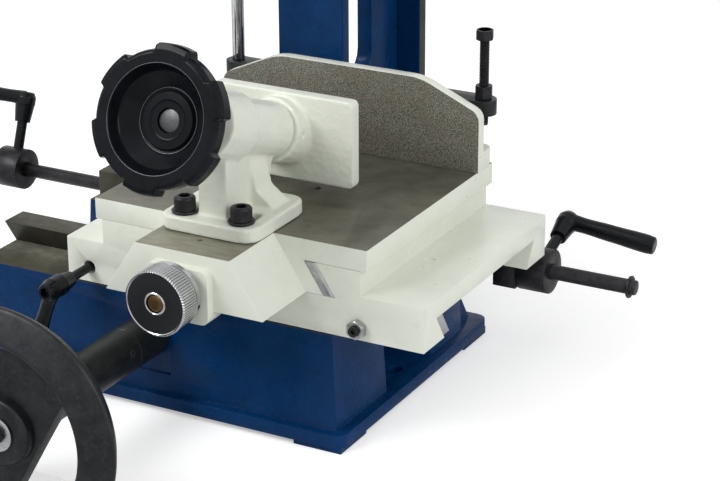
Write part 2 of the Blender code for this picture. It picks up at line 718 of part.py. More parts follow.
def base_casting():
    """Hollow front and rear beams on one bench flange, with the well for rack and pinion between."""
    half = BASE_LENGTH / 2
    foot_half = half + BASE_SIDE_FLARE
    flange_half = FLANGE_LENGTH / 2
    flange_front = FRONT_Y - FLANGE_FRONT_REACH
    flange_rear = REAR_BEAM_REAR_Y + FLANGE_REAR_REACH
    extension_rear = COLUMN_REAR_Y + EXTENSION_REAR
    inside = half - BASE_WALL
    roof = LEDGE_HEIGHT - BASE_WALL
    wall = BASE_WALL

    body = tapered((-foot_half, FRONT_Y - BASE_FRONT_FLARE, PAD_HEIGHT + SINK),
                   (foot_half, REAR_BEAM_REAR_Y, LEDGE_HEIGHT),
                   (-half, FRONT_Y), (half, REAR_BEAM_REAR_Y))
    flange_outline = rectangle(-flange_half, flange_front, flange_half, flange_rear)
    flange = prism("Z", rounded(flange_outline, FLANGE_CORNER), PAD_HEIGHT, FLANGE_TOP_Z)
    extension = prism("Z", rectangle(-EXTENSION_WIDTH / 2, flange_rear - FLANGE_CORNER,
                                     EXTENSION_WIDTH / 2, extension_rear), PAD_HEIGHT, FLANGE_TOP_Z)
    joins = [flange, extension]
    pad_places = [(side * (flange_half - PAD_SIZE / 2 - SINK), y) for side in (-1, 1)
                  for y in (flange_front + PAD_SIZE / 2 + SINK, flange_rear - PAD_SIZE / 2 - SINK)]
    for x, y in pad_places + [(0.0, 0.0)]:
        joins.append(block((x - PAD_SIZE / 2, y - PAD_SIZE / 2, 0.0),
                           (x + PAD_SIZE / 2, y + PAD_SIZE / 2, PAD_HEIGHT + SINK)))
    joins.append(prism("X", dovetail_rail(FRONT_FLANK_Y, -1), -half, half))
    slope = [(REAR_BEAM_REAR_Y - SINK, FLANGE_TOP_Z - SINK), (REAR_BEAM_REAR_Y - SINK, REAR_SLOPE_TOP),
             (REAR_BEAM_REAR_Y, REAR_SLOPE_TOP), (REAR_BEAM_REAR_Y + BASE_REAR_FLARE, FLANGE_TOP_Z),
             (REAR_BEAM_REAR_Y + BASE_REAR_FLARE, FLANGE_TOP_Z - SINK)]
    joins.append(prism("X", slope, -half, half))
    joins.append(prism("X", dovetail_rail(REAR_FLANK_Y, 1), -half, half))
    boss_low = ROD_HEIGHT - ROD_BOSS_RADIUS
    boss_high = ROD_HEIGHT + ROD_BOSS_RADIUS
    boss = rectangle(REAR_BEAM_REAR_Y - wall / 2, boss_low, ROD_Y, boss_high)
    boss_left = ROD_BOSS_OFFSET - ROD_BOSS_LENGTH / 2
    boss_right = ROD_BOSS_OFFSET + ROD_BOSS_LENGTH / 2
    joins.append(prism("X", boss, boss_left, boss_right))
    joins.append(rod("X", ROD_BOSS_RADIUS, boss_left - GAP, boss_right + GAP, (ROD_Y, ROD_HEIGHT)))

    cross = CROSS_WALL_SPREAD / 2
    well_front = FRONT_BEAM_REAR_Y
    well_rear = REAR_BEAM_FRONT_Y
    cuts = [
        block((-inside, FRONT_Y + wall, -OVERRUN), (inside, FRONT_BEAM_REAR_Y - wall, roof)),
        block((-inside, REAR_BEAM_FRONT_Y + wall, -OVERRUN), (inside, REAR_BEAM_REAR_Y - wall, roof)),
        block((wall - cross, well_front, -OVERRUN), (cross - wall, well_rear, RAIL_TOP_Z + OVERRUN)),
        block((-cross - SINK, well_front, CROSS_WALL_TOP), (cross + SINK, well_rear, RAIL_TOP_Z + OVERRUN)),
    ]
    for side in (-1, 1):
        low, high = sorted((side * cross, side * (foot_half + OVERRUN)))
        cuts.append(block((low, well_front, FLANGE_TOP_Z), (high, well_rear, RAIL_TOP_Z + OVERRUN)))
        hole = (side * (flange_half - BENCH_HOLE_INSET), (well_front + well_rear) / 2)
        cuts.append(rod("Z", BENCH_HOLE_RADIUS, -OVERRUN, FLANGE_TOP_Z + OVERRUN, hole, SMALL_STEPS))
    cuts.append(rod("Y", BUSH_RADIUS + GAP, FRONT_Y - BASE_FRONT_FLARE - OVERRUN, well_front + OVERRUN,
                    (0.0, X_SHAFT_HEIGHT)))
    cuts.append(rod("Y", X_SHAFT_RADIUS + GAP, well_rear - OVERRUN, well_rear + wall + OVERRUN,
                    (0.0, X_SHAFT_HEIGHT)))
    cuts.append(rod("X", ROD_RADIUS + GAP, boss_left - OVERRUN, boss_right + OVERRUN, (ROD_Y, ROD_HEIGHT),
                    SMALL_STEPS))
    panel = rectangle(-PANEL_SIDE, FLANGE_TOP_Z + PANEL_MARGIN, PANEL_SIDE, LEDGE_HEIGHT - PANEL_MARGIN)
    front_foot_y = FRONT_Y - BASE_FRONT_FLARE
    cuts.append(prism("Y", panel, front_foot_y - OVERRUN, front_foot_y + PANEL_DEPTH))
    for x, y in column_bolt_places():
        cuts.append(rod("Z", M10_RADIUS + GAP, -OVERRUN, FLANGE_TOP_Z + OVERRUN, (x, y), SMALL_STEPS))
    return piece("base_casting", blue_paint(), body, joins, cuts)


def column_bolt_places():
    inset = COLUMN_FOOT_WIDTH / 2 - FOOT_BOLT_INSET
    return [(side * inset, 0.0) for side in (-1, 1)]


def column_casting():
    """Standing I section: front and rear flanges, a web with a window, and a foot on the base."""
    half = COLUMN_WIDTH / 2
    web = COLUMN_WEB / 2
    foot_z = FLANGE_TOP_Z + GAP
    front_inner = COLUMN_FRONT_Y + FRONT_FLANGE
    rear_inner = COLUMN_REAR_Y - REAR_FLANGE
    section = [(-half, COLUMN_FRONT_Y), (half, COLUMN_FRONT_Y), (half, front_inner), (web, front_inner),
               (web, rear_inner), (half, rear_inner), (half, COLUMN_REAR_Y), (-half, COLUMN_REAR_Y),
               (-half, rear_inner), (-web, rear_inner), (-web, front_inner), (-half, front_inner)]
    foot = rectangle(-COLUMN_FOOT_WIDTH / 2, COLUMN_FRONT_Y - COLUMN_FOOT_BRIM,
                     COLUMN_FOOT_WIDTH / 2, COLUMN_REAR_Y + COLUMN_FOOT_BRIM)
    plate = prism("Z", rounded(foot, FLANGE_CORNER), foot_z, foot_z + COLUMN_FOOT_THICKNESS)
    window = rounded(rectangle(front_inner + WINDOW_FRONT_LAND, WINDOW_SILL,
                               rear_inner - WINDOW_REAR_LAND, WINDOW_TOP), WINDOW_CORNER)
    cuts = [prism("X", window, -half, half)]
    for place in column_bolt_places():
        cuts.append(rod("Z", M10_RADIUS + GAP, foot_z - OVERRUN, foot_z + COLUMN_FOOT_THICKNESS + OVERRUN,
                        place, SMALL_STEPS))
    piece("column_casting", blue_paint(), prism("Z", section, foot_z + SINK, COLUMN_TOP), [plate], cuts)
    for index, place in enumerate(column_bolt_places()):
        cap_screw(f"column_bolt_{index + 1}", "Z", place, foot_z + COLUMN_FOOT_THICKNESS + GAP, M10_SCREW)


def tooth_half(pitch_radius, radius):
    """Half the angle of an involute tooth at one radius; the flank is radial below the base circle."""
    base = pitch_radius * math.cos(TOOTH_ANGLE)
    roll = math.acos(base / max(radius, base))
    pitch_half = (math.pi * TOOTH_MODULE / 2 - BACKLASH / 2) / (2 * pitch_radius)
    return pitch_half + math.tan(TOOTH_ANGLE) - TOOTH_ANGLE - (math.tan(roll) - roll)


def pinion_outline(teeth, centre, first_tooth):
    """Outline of a pinion whose first tooth points in the direction of one angle."""
    pitch_radius = TOOTH_MODULE * teeth / 2
    base = pitch_radius * math.cos(TOOTH_ANGLE)
    root = pitch_radius - TOOTH_DEDENDUM
    tip = pitch_radius + PINION_ADDENDUM
    heights = [root, max(base, root + GAP), (base + tip) / 2, tip]
    points = []
    for tooth in range(teeth):
        middle = first_tooth + math.tau * tooth / teeth
        sides = [(radius, -tooth_half(pitch_radius, radius)) for radius in heights]
        sides += [(radius, -half) for radius, half in reversed(sides)]
        for radius, half in sides:
            points.append((centre[0] + radius * math.cos(middle + half),
                           centre[1] + radius * math.sin(middle + half)))
    return points


def rack_outline(start, stop, back, pitch_line, towards, space_at):
    """(along, height) outline of a rack whose teeth point towards -1 or +1, with a space at one place."""
    pitch = math.pi * TOOTH_MODULE
    tip = pitch_line + towards * RACK_ADDENDUM
    root = pitch_line - towards * TOOTH_DEDENDUM
    half = (pitch / 2 - BACKLASH / 2) / 2
    tip_half = half - RACK_ADDENDUM * math.tan(TOOTH_ANGLE)
    root_half = half + TOOTH_DEDENDUM * math.tan(TOOTH_ANGLE)
    points = [(start, root)]
    count = math.floor((stop - space_at) / pitch - 1)
    first = math.ceil((start - space_at) / pitch)
    for tooth in range(first, count + 1):
        middle = space_at + (tooth + 0.5) * pitch
        points += [(middle - root_half, root), (middle - tip_half, tip),
                   (middle + tip_half, tip), (middle + root_half, root)]
    return points + [(stop, root), (stop, back), (start, back)]


def rack_y():
    return FRONT_Y + RACK_FROM_FRONT


def bush_front_y():
    return FRONT_Y - BUSH_PROUD


def sleeve_front_y():
    return bush_front_y() - GAP - SLEEVE_LENGTH


def wheel_back_y():
    return sleeve_front_y() - GAP


def wheel_hub_front_y():
    return wheel_back_y() - X_WHEEL_HUB_LENGTH


def x_drive():
    """Pinion shaft through the base with its bush, sleeve and large handwheel."""
    axis = (0.0, X_SHAFT_HEIGHT)
    shaft = carrier_empty("x_shaft_body", (0.0, wheel_back_y(), X_SHAFT_HEIGHT))
    place = (0.0, wheel_back_y(), X_SHAFT_HEIGHT)
    rear = REAR_BEAM_FRONT_Y + BASE_WALL
    half = RACK_WIDTH / 2
    pinion = prism("Y", pinion_outline(X_PINION_TEETH, axis, math.pi / 2), rack_y() - half, rack_y() + half)
    front = wheel_hub_front_y()
    screw_bore = rod("Y", M8_RADIUS + GAP, front - OVERRUN, front + M8_LENGTH + GAP, axis, SMALL_STEPS)
    piece("x_pinion_shaft", bright_steel(), rod("Y", X_SHAFT_RADIUS, front, rear, axis), [pinion],
          [screw_bore], place, shaft)
    piece("x_shaft_bush", dark_satin(),
          tube("Y", BUSH_RADIUS, X_SHAFT_RADIUS + GAP, bush_front_y(), FRONT_BEAM_REAR_Y, axis))
    set_screw_y = bush_front_y() - SET_SCREW_FROM_END
    pocket = rod("Z", SET_SCREW_RADIUS, X_SHAFT_HEIGHT + SLEEVE_RADIUS - SET_SCREW_DEPTH,
                 X_SHAFT_HEIGHT + SLEEVE_RADIUS + OVERRUN, (0.0, set_screw_y), SMALL_STEPS)
    piece("x_shaft_sleeve", dark_satin(),
          tube("Y", SLEEVE_RADIUS, X_SHAFT_RADIUS + GAP, sleeve_front_y(), bush_front_y() - GAP, axis),
          cuts=[pocket], origin=place, carrier=shaft)
    x_handwheel(axis, place, shaft)
    washer_front = front - GAP - WASHER_THICKNESS
    piece("x_handwheel_washer", bright_steel(),
          tube("Y", X_WHEEL_WASHER, M8_RADIUS + GAP, washer_front, front - GAP, axis), origin=place,
          carrier=shaft)
    cap_screw("x_handwheel_screw", "Y", axis, washer_front - GAP, M8_SCREW, shaft, away=-1)


def x_handwheel(axis, place, carrier):
    back = wheel_back_y()
    hub_front = wheel_hub_front_y()
    rim_front = hub_front - X_WHEEL_RIM_PROUD
    rim_back = rim_front + X_WHEEL_RIM_DEPTH
    web_front = rim_front + X_WHEEL_WEB_SET_BACK
    web_back = web_front + X_WHEEL_WEB
    inner = X_WHEEL_RADIUS - X_WHEEL_RIM
    low = inner - X_WHEEL_RIM_SLOPE
    profile = [(hub_front, X_SHAFT_RADIUS + GAP), (hub_front, X_WHEEL_HUB), (web_front, X_WHEEL_HUB),
               (web_front, low), (rim_front, inner), (rim_front + X_WHEEL_RIM_CONE, X_WHEEL_RADIUS),
               (rim_back - X_WHEEL_RIM_CONE, X_WHEEL_RADIUS), (rim_back, X_WHEEL_RADIUS - X_WHEEL_RIM_CONE),
               (rim_back, inner), (web_back, low), (web_back, X_WHEEL_HUB), (back, X_WHEEL_HUB),
               (back, X_SHAFT_RADIUS + GAP)]
    wheel = turned("Y", profile, axis, FINE_STEPS, hollow=True)
    window_radius = low - SINK
    half = math.acos(X_WHEEL_WINDOW_OFFSET / window_radius)
    windows = []
    for turn in (X_WHEEL_WINDOW_TURN, X_WHEEL_WINDOW_TURN + math.pi):
        angles = [turn - half + 2 * half * step / CORNER_STEPS / 2 for step in range(2 * CORNER_STEPS + 1)]
        arc = [(window_radius * math.cos(a), window_radius * math.sin(a)) for a in angles]
        radii = [X_WHEEL_WINDOW_CORNER] + [0] * (len(arc) - 2) + [X_WHEEL_WINDOW_CORNER]
        outline = [(u + axis[0], v + axis[1]) for u, v in rounded(arc, radii)]
        windows.append(prism("Y", outline, rim_front - OVERRUN, rim_back + OVERRUN))
    piece("x_handwheel", dark_satin(), wheel, cuts=windows, origin=place, carrier=carrier)


def saddle_profile():
    """YZ outline of the saddle: slab with two lips, their inner flanks lying on the base dovetails."""
    front_top = FRONT_FLANK_Y - X_RAIL_LEAN - X_GIB
    front_foot = front_top + LIP_DEPTH * WAY_LEAN
    rear_top = REAR_FLANK_Y + X_RAIL_LEAN + 2 * GAP
    rear_foot = rear_top - LIP_DEPTH * WAY_LEAN
    return [(FRONT_Y, LIP_BOTTOM_Z), (front_foot, LIP_BOTTOM_Z), (front_top, SLAB_BOTTOM_Z),
            (rear_top, SLAB_BOTTOM_Z), (rear_foot, LIP_BOTTOM_Z), (SADDLE_REAR_Y, LIP_BOTTOM_Z),
            (SADDLE_REAR_Y, SLAB_TOP_Z), (FRONT_Y, SLAB_TOP_Z)]


def table_flank_x(side, z, extra=0.0):
    """X of the table dovetail's flank at a height, moved outwards by extra."""
    return TABLE_X + side * (DOVETAIL_TOP_WIDTH / 2 + (PLATE_BOTTOM_Z - z) * WAY_LEAN + extra)


def saddle_casting(carrier):
    base = prism("X", saddle_profile(), SADDLE_LEFT_X, SADDLE_RIGHT_X)
    block_top = PLATE_BOTTOM_Z - GAP
    blocks = block((TABLE_X - RAIL_BLOCKS_LENGTH / 2, FRONT_Y, SLAB_TOP_Z - SINK),
                   (TABLE_X + RAIL_BLOCKS_LENGTH / 2, SADDLE_REAR_Y, block_top))
    above = block_top + OVERRUN
    gib = Y_GIB + 2 * GAP
    channel = [(table_flank_x(-1, CHANNEL_Z, GAP), CHANNEL_Z), (table_flank_x(1, CHANNEL_Z, gib), CHANNEL_Z),
               (table_flank_x(1, above, gib), above), (table_flank_x(-1, above, GAP), above)]
    plug = rod("Z", PLUG_RADIUS, SLAB_TOP_Z - PLUG_DEPTH, SLAB_TOP_Z + OVERRUN,
               (SADDLE_RIGHT_X - PLUG_FROM_RIGHT, FRONT_Y + PLUG_FROM_FRONT), SMALL_STEPS)
    cuts = [prism("Y", channel, FRONT_Y - OVERRUN, SADDLE_REAR_Y + OVERRUN), plug]
    gib_x, gib_z = gib_screw_place()
    cuts.append(rod("Y", GIB_SCREW_RADIUS + GAP, FRONT_Y - OVERRUN, gib_screw_inner_y(), (gib_x, gib_z),
                    SMALL_STEPS))
    lock_x = SADDLE_LEFT_X + LOCK_FROM_LEFT
    cuts.append(rod("Y", LOCK_STUD_RADIUS + GAP, FRONT_Y - OVERRUN, gib_screw_inner_y(),
                    (lock_x, LOCK_HEIGHT), SMALL_STEPS))
    piece("saddle_casting", cream_paint(), base, [blocks], cuts,
          (SADDLE_X, FRONT_Y, SLAB_BOTTOM_Z), carrier)


def gib_screw_place():
    return SADDLE_RIGHT_X - GIB_SCREW_FROM_RIGHT, LIP_BOTTOM_Z + GIB_SCREW_ABOVE_LIP


def gib_screw_inner_y():
    """Depth of the holes through the front lip, short of the gib."""
    return FRONT_FLANK_Y - X_RAIL_LEAN - X_GIB - SINK


def saddle_pieces(carrier):
    """Gibs, gib screw, rack, feed nut and stop blocks, which all ride on the saddle."""
    gib_top = RAIL_TOP_Z - GAP
    gib_low = LIP_BOTTOM_Z + GAP
    inner_top = FRONT_FLANK_Y - (gib_top - LEDGE_HEIGHT) * WAY_LEAN - GAP
    inner_low = FRONT_FLANK_Y - (gib_low - LEDGE_HEIGHT) * WAY_LEAN - GAP
    thick = X_GIB - 2 * GAP
    x_gib = prism("X", [(inner_low - thick, gib_low), (inner_low, gib_low), (inner_top, gib_top),
                        (inner_top - thick, gib_top)], SADDLE_LEFT_X + SINK, SADDLE_RIGHT_X - SINK)
    piece("x_gib", bright_steel(), x_gib, carrier=carrier)
    low = CHANNEL_Z + GAP
    top = PLATE_BOTTOM_Z - 2 * GAP
    y_gib = prism("Y", [(table_flank_x(1, low, GAP), low), (table_flank_x(1, low, Y_GIB + GAP), low),
                        (table_flank_x(1, top, Y_GIB + GAP), top), (table_flank_x(1, top, GAP), top)],
                  FRONT_Y, SADDLE_REAR_Y)
    piece("y_gib", bright_steel(), y_gib, carrier=carrier)
    gib_x, gib_z = gib_screw_place()
    nut_back = FRONT_Y - GAP
    nut = prism("Y", hexagon(GIB_NUT_FLATS, (gib_x, gib_z)), nut_back - GIB_NUT_THICKNESS, nut_back)
    bore = rod("Y", GIB_SCREW_RADIUS + GAP, nut_back - GIB_NUT_THICKNESS - OVERRUN, nut_back + OVERRUN,
               (gib_x, gib_z), SMALL_STEPS)
    piece("x_gib_nut", black_oxide(), nut, cuts=[bore], carrier=carrier)
    front = nut_back - GIB_NUT_THICKNESS - GIB_SCREW_PROUD
    socket = rod("Y", GIB_SCREW_RADIUS * SOCKET_SHARE, front - OVERRUN, front + GIB_SCREW_PROUD,
                 (gib_x, gib_z), HEX_SIDES)
    piece("x_gib_screw", black_oxide(), rod("Y", GIB_SCREW_RADIUS, front, gib_screw_inner_y() - GAP,
                                            (gib_x, gib_z), SMALL_STEPS), cuts=[socket], carrier=carrier)
    half = SADDLE_TRAVEL / 2 + RACK_END
    pitch_line = X_SHAFT_HEIGHT + TOOTH_MODULE * X_PINION_TEETH / 2
    rack = rack_outline(SADDLE_X - half, SADDLE_X + half, SLAB_BOTTOM_Z - GAP, pitch_line, -1, 0.0)
    rack_front = rack_y() - RACK_WIDTH / 2
    piece("saddle_rack", bright_steel(), prism("Y", rack, rack_front, rack_front + RACK_WIDTH),
          carrier=carrier)
    screw_z = y_screw_z()
    nut_front = FRONT_Y + Y_NUT_FROM_FRONT
    feed_nut = block((TABLE_X - Y_NUT_WIDTH / 2, nut_front, CHANNEL_Z + GAP),
                     (TABLE_X + Y_NUT_WIDTH / 2, nut_front + Y_NUT_LENGTH, screw_z + Y_NUT_HALF_HEIGHT))
    bore = rod("Y", Y_SCREW_RADIUS + GAP, nut_front - OVERRUN, nut_front + Y_NUT_LENGTH + OVERRUN,
               (TABLE_X, screw_z), SMALL_STEPS)
    piece("y_feed_nut", brass(), feed_nut, cuts=[bore], carrier=carrier)
    for side, right in (("right", SADDLE_RIGHT_X - RIGHT_BLOCK_FROM_END),
                        ("left", SADDLE_LEFT_X + LEFT_BLOCK_FROM_END + BLOCK_LENGTH)):
        stop = block((right - BLOCK_LENGTH, SADDLE_REAR_Y + GAP, BLOCK_BOTTOM),
                     (right, SADDLE_REAR_Y + GAP + BLOCK_DEPTH, BLOCK_TOP))
        bore = rod("X", ROD_RADIUS + BLOCK_BORE_CLEARANCE, right - BLOCK_LENGTH - OVERRUN, right + OVERRUN,
                   (ROD_Y, ROD_HEIGHT), SMALL_STEPS)
        piece(f"stop_block_{side}", black_oxide(), stop, cuts=[bore], carrier=carrier)


def tipped(angle, centre):
    """Matrix that turns a shape about the Y direction at one place, clockwise seen from the front."""
    return Matrix.Translation(centre) @ Matrix.Rotation(angle, 4, "Y") @ Matrix.Translation(-Vector(centre))


def arm_points(length, radius, swell_share):
    """(along, radius) of a clamping lever's arm: a waist near the hub and a swell near the end."""
    return [(0.0, radius), (length * ARM_WAIST_PLACE_SHARE, radius * ARM_WAIST_SHARE),
            (length * ARM_SWELL_PLACE_SHARE, radius * swell_share), (length, radius)]


def x_lock_lever(carrier):
    """Stud, hub and arm in one, turned about the stud."""
    x = SADDLE_LEFT_X + LOCK_FROM_LEFT
    hub_back = FRONT_Y - LOCK_NECK
    hub_front = hub_back - LOCK_HUB_LENGTH
    place = (x, hub_back, LOCK_HEIGHT)
    body = carrier_empty("x_lock_body", place, carrier)
    middle = (hub_back + hub_front) / 2
    neck_front = FRONT_Y - GAP
    profile = [(hub_front, LOCK_HUB_RADIUS * HUB_END_SHARE),
               (hub_front + LOCK_STUD_RADIUS / 2, LOCK_HUB_RADIUS), (hub_back, LOCK_HUB_RADIUS),
               (neck_front, LOCK_STUD_RADIUS * LOCK_NECK_SHARE),
               (neck_front, LOCK_STUD_RADIUS), (gib_screw_inner_y() - GAP, LOCK_STUD_RADIUS)]
    stem = turned("Y", profile, (x, LOCK_HEIGHT), SMALL_STEPS)
    arm_profile = [(LOCK_HEIGHT - along, radius)
                   for along, radius in arm_points(LOCK_ARM, LOCK_ARM_RADIUS, LOCK_SWELL_SHARE)]
    arm = placed(turned("Z", arm_profile, (x, middle), SMALL_STEPS),
                 tipped(LOCK_ARM_TURN, (x, middle, LOCK_HEIGHT)))
    socket = rod("Y", LOCK_HUB_RADIUS * SOCKET_SHARE, hub_front - OVERRUN, hub_front + LOCK_STUD_RADIUS / 2,
                 (x, LOCK_HEIGHT), HEX_SIDES)
    piece("x_lock_lever", black_plastic(), stem, [arm], [socket], place, body)


def y_screw_z():
    return DOVETAIL_BOTTOM_Z + Y_SCREW_ABOVE_DOVETAIL


def apron_front_y():
    return FRONT_Y - APRON_REACH


def vise_seat_z():
    """Underside of the vise screws' heads."""
    return TABLE_TOP_Z + 3 * GAP + VISE_FOOT_THICKNESS + WASHER_THICKNESS


def vise_bolt_places():
    y = FRONT_Y - VISE_FOOT_FRONT + VISE_BOLT_FROM_FOOT
    return [(TABLE_X + side * VISE_BOLT_SPREAD / 2, y) for side in (-1, 1)]


def fence_foot_y():
    """Front and rear of the fence's foot."""
    front = FRONT_Y + FENCE_FACE_FROM_FRONT + FENCE_THICKNESS
    return front, front + FENCE_FOOT_DEPTH


def fence_bolt_places():
    y = sum(fence_foot_y()) / 2
    return [(TABLE_X + FENCE_OFFSET + side * FENCE_BOLT_SPREAD / 2, y) for side in (-1, 1)]


def fence_seat_z():
    return TABLE_TOP_Z + 2 * GAP + FENCE_FOOT_HEIGHT


def table_casting(carrier):
    """Plate with a dovetail body under it and the extension that reaches out in front."""
    rear = FRONT_Y + TABLE_DEPTH
    plate = block((TABLE_X - TABLE_WIDTH / 2, FRONT_Y, PLATE_BOTTOM_Z),
                  (TABLE_X + TABLE_WIDTH / 2, rear, TABLE_TOP_Z))
    top_half = DOVETAIL_TOP_WIDTH / 2
    dovetail = [(table_flank_x(-1, DOVETAIL_BOTTOM_Z), DOVETAIL_BOTTOM_Z),
                (table_flank_x(1, DOVETAIL_BOTTOM_Z), DOVETAIL_BOTTOM_Z),
                (TABLE_X + top_half, PLATE_BOTTOM_Z), (TABLE_X + top_half, PLATE_BOTTOM_Z + SINK),
                (TABLE_X - top_half, PLATE_BOTTOM_Z + SINK), (TABLE_X - top_half, PLATE_BOTTOM_Z)]
    apron_top = APRON_TOP_WIDTH / 2
    apron_foot = apron_top + (TABLE_TOP_Z - DOVETAIL_BOTTOM_Z) * WAY_LEAN
    apron = [(TABLE_X - apron_foot, DOVETAIL_BOTTOM_Z), (TABLE_X + apron_foot, DOVETAIL_BOTTOM_Z),
             (TABLE_X + apron_top, TABLE_TOP_Z), (TABLE_X - apron_top, TABLE_TOP_Z)]
    lug_low = DOVETAIL_BOTTOM_Z - LUG_DROP
    lug = rounded(rectangle(TABLE_X - LUG_WIDTH / 2, lug_low, TABLE_X + LUG_WIDTH / 2,
                            2 * y_screw_z() - lug_low - LUG_CORNER), LUG_CORNER)
    lug_front = apron_front_y() - LUG_PROUD
    joins = [prism("Y", dovetail, FRONT_Y, rear), prism("Y", apron, apron_front_y(), FRONT_Y + SINK),
             prism("Y", lug, lug_front, lug_front + LUG_THICKNESS)]
    channel_front = FRONT_Y + Y_NUT_FROM_FRONT - TABLE_BACK_TRAVEL - Y_CHANNEL_CLEARANCE
    channel_half = Y_NUT_WIDTH / 2 + Y_CHANNEL_CLEARANCE
    channel_top = y_screw_z() + Y_NUT_HALF_HEIGHT + Y_CHANNEL_CLEARANCE
    cuts = [
        block((TABLE_X - channel_half, channel_front, DOVETAIL_BOTTOM_Z - OVERRUN),
              (TABLE_X + channel_half, rear + OVERRUN, channel_top)),
        rod("Y", Y_SCREW_RADIUS + GAP, lug_front - OVERRUN, channel_front + OVERRUN, (TABLE_X, y_screw_z()),
            SMALL_STEPS),
        rod("Z", TABLE_HOLE_RADIUS, TABLE_TOP_Z - HOLE_DEPTH, TABLE_TOP_Z + OVERRUN,
            (TABLE_X + TABLE_HOLE_OFFSET, FRONT_Y + TABLE_HOLE_FROM_FRONT), SMALL_STEPS),
        rod("Z", OIL_HOLE_RADIUS, TABLE_TOP_Z - HOLE_DEPTH, TABLE_TOP_Z + OVERRUN,
            (TABLE_X, apron_front_y() + OIL_HOLE_FROM_APRON), SMALL_STEPS)]
    for place in vise_bolt_places():
        cuts.append(rod("Z", M10_RADIUS + GAP, vise_seat_z() - M10_LENGTH - GAP, TABLE_TOP_Z + OVERRUN, place,
                        SMALL_STEPS))
    for place in fence_bolt_places():
        cuts.append(rod("Z", M8_RADIUS + GAP, fence_seat_z() - M8_LENGTH - GAP, TABLE_TOP_Z + OVERRUN, place,
                        SMALL_STEPS))
    piece("table_casting", cream_paint(), plate, joins, cuts, (TABLE_X, FRONT_Y, PLATE_BOTTOM_Z), carrier)


def knurled(centre):
    """Straight-knurled outline: ridges and grooves take turns round the knob."""
    points = []
    for index, (u, v) in enumerate(around(1.0, 2 * KNURL_RIDGES)):
        radius = KNOB_RADIUS - KNURL_DEPTH * (index % 2)
        points.append((centre[0] + radius * u, centre[1] + radius * v))
    return points


def y_screw_and_knob(table):
    """Leadscrew turned by the knurled knob on the front of the table's extension."""
    axis = (TABLE_X, y_screw_z())
    back = apron_front_y() - LUG_PROUD - GAP
    knurl_back = back - KNOB_COLLAR_LENGTH
    front = knurl_back - KNOB_LENGTH
    place = (TABLE_X, back, y_screw_z())
    body = carrier_empty("y_screw_body", place, table)
    bore = Y_SCREW_RADIUS + GAP
    rim = KNOB_RADIUS - KNURL_DEPTH - KNOB_CHAMFER
    core = turned("Y", [(front, bore), (front + KNOB_DISH_DEPTH, KNOB_DISH_RADIUS),
                        (front, KNOB_DISH_RADIUS + KNOB_CHAMFER), (front, rim),
                        (front + KNOB_CHAMFER, rim + KNOB_CHAMFER),
                        (knurl_back - KNOB_CHAMFER, rim + KNOB_CHAMFER), (knurl_back, rim),
                        (knurl_back, KNOB_COLLAR_RADIUS), (back, KNOB_COLLAR_RADIUS), (back, bore)],
                  axis, ROUND_STEPS, hollow=True)
    grip = prism("Y", knurled(axis), front + KNOB_CHAMFER, knurl_back - KNOB_CHAMFER)
    hole = rod("Y", bore, front - OVERRUN, back + OVERRUN, axis, ROUND_STEPS)
    set_y = (back + knurl_back) / 2
    pocket = rod("Z", KNOB_SET_SCREW_RADIUS, axis[1] + KNOB_COLLAR_RADIUS - SET_SCREW_DEPTH,
                 axis[1] + KNOB_COLLAR_RADIUS + OVERRUN, (axis[0], set_y), SMALL_STEPS)
    piece("y_knob", bright_steel(), grip, [core], [hole, pocket], place, body)
    end = FRONT_Y + Y_NUT_FROM_FRONT + Y_NUT_LENGTH + TABLE_FORWARD_TRAVEL + Y_SCREW_SPARE
    piece("y_leadscrew", brass(), rod("Y", Y_SCREW_RADIUS, front + KNOB_DISH_DEPTH, end, axis), origin=place,
          carrier=body)


def fence(table):
    middle = TABLE_X + FENCE_OFFSET
    face = FRONT_Y + FENCE_FACE_FROM_FRONT
    floor = TABLE_TOP_Z + GAP
    half = FENCE_LENGTH / 2
    flat = FENCE_FLAT_LENGTH / 2
    outline = rounded([(middle - half, floor), (middle + half, floor),
                       (middle + half, floor + FENCE_END_HEIGHT), (middle + flat, floor + FENCE_HEIGHT),
                       (middle - flat, floor + FENCE_HEIGHT), (middle - half, floor + FENCE_END_HEIGHT)],
                      [0, 0, FENCE_END_ROUNDING, FENCE_SHOULDER_ROUNDING, FENCE_SHOULDER_ROUNDING,
                       FENCE_END_ROUNDING])
    plate = prism("Y", outline, face, face + FENCE_THICKNESS)
    foot_front, foot_rear = fence_foot_y()
    foot = rounded(rectangle(middle - half, foot_front - SINK, middle + half, foot_rear),
                   [0, 0, FENCE_FOOT_CORNER, FENCE_FOOT_CORNER])
    cuts = [rod("Z", M8_RADIUS + GAP, floor - OVERRUN, fence_seat_z() + OVERRUN, place, SMALL_STEPS)
            for place in fence_bolt_places()]
    piece("fence", cream_paint(), plate, [prism("Z", foot, floor, floor + FENCE_FOOT_HEIGHT)], cuts,
          (middle, face, floor), table)
    for index, place in enumerate(fence_bolt_places()):
        cap_screw(f"fence_bolt_{index + 1}", "Z", place, fence_seat_z(), M8_SCREW, table)


def vise_origin():
    return Vector((TABLE_X, FRONT_Y, TABLE_TOP_Z + VISE_AXIS_HEIGHT))


def vise_frame():
    """Local frame of the vise: +Y runs back and down along its screw."""
    return Matrix.Translation(vise_origin()) @ Matrix.Rotation(-VISE_TILT, 4, "X")


def on_vise_axis(along):
    """(y, z) of the place that lies this far along the vise's screw."""
    return (FRONT_Y + along * math.cos(VISE_TILT),
            TABLE_TOP_Z + VISE_AXIS_HEIGHT - along * math.sin(VISE_TILT))


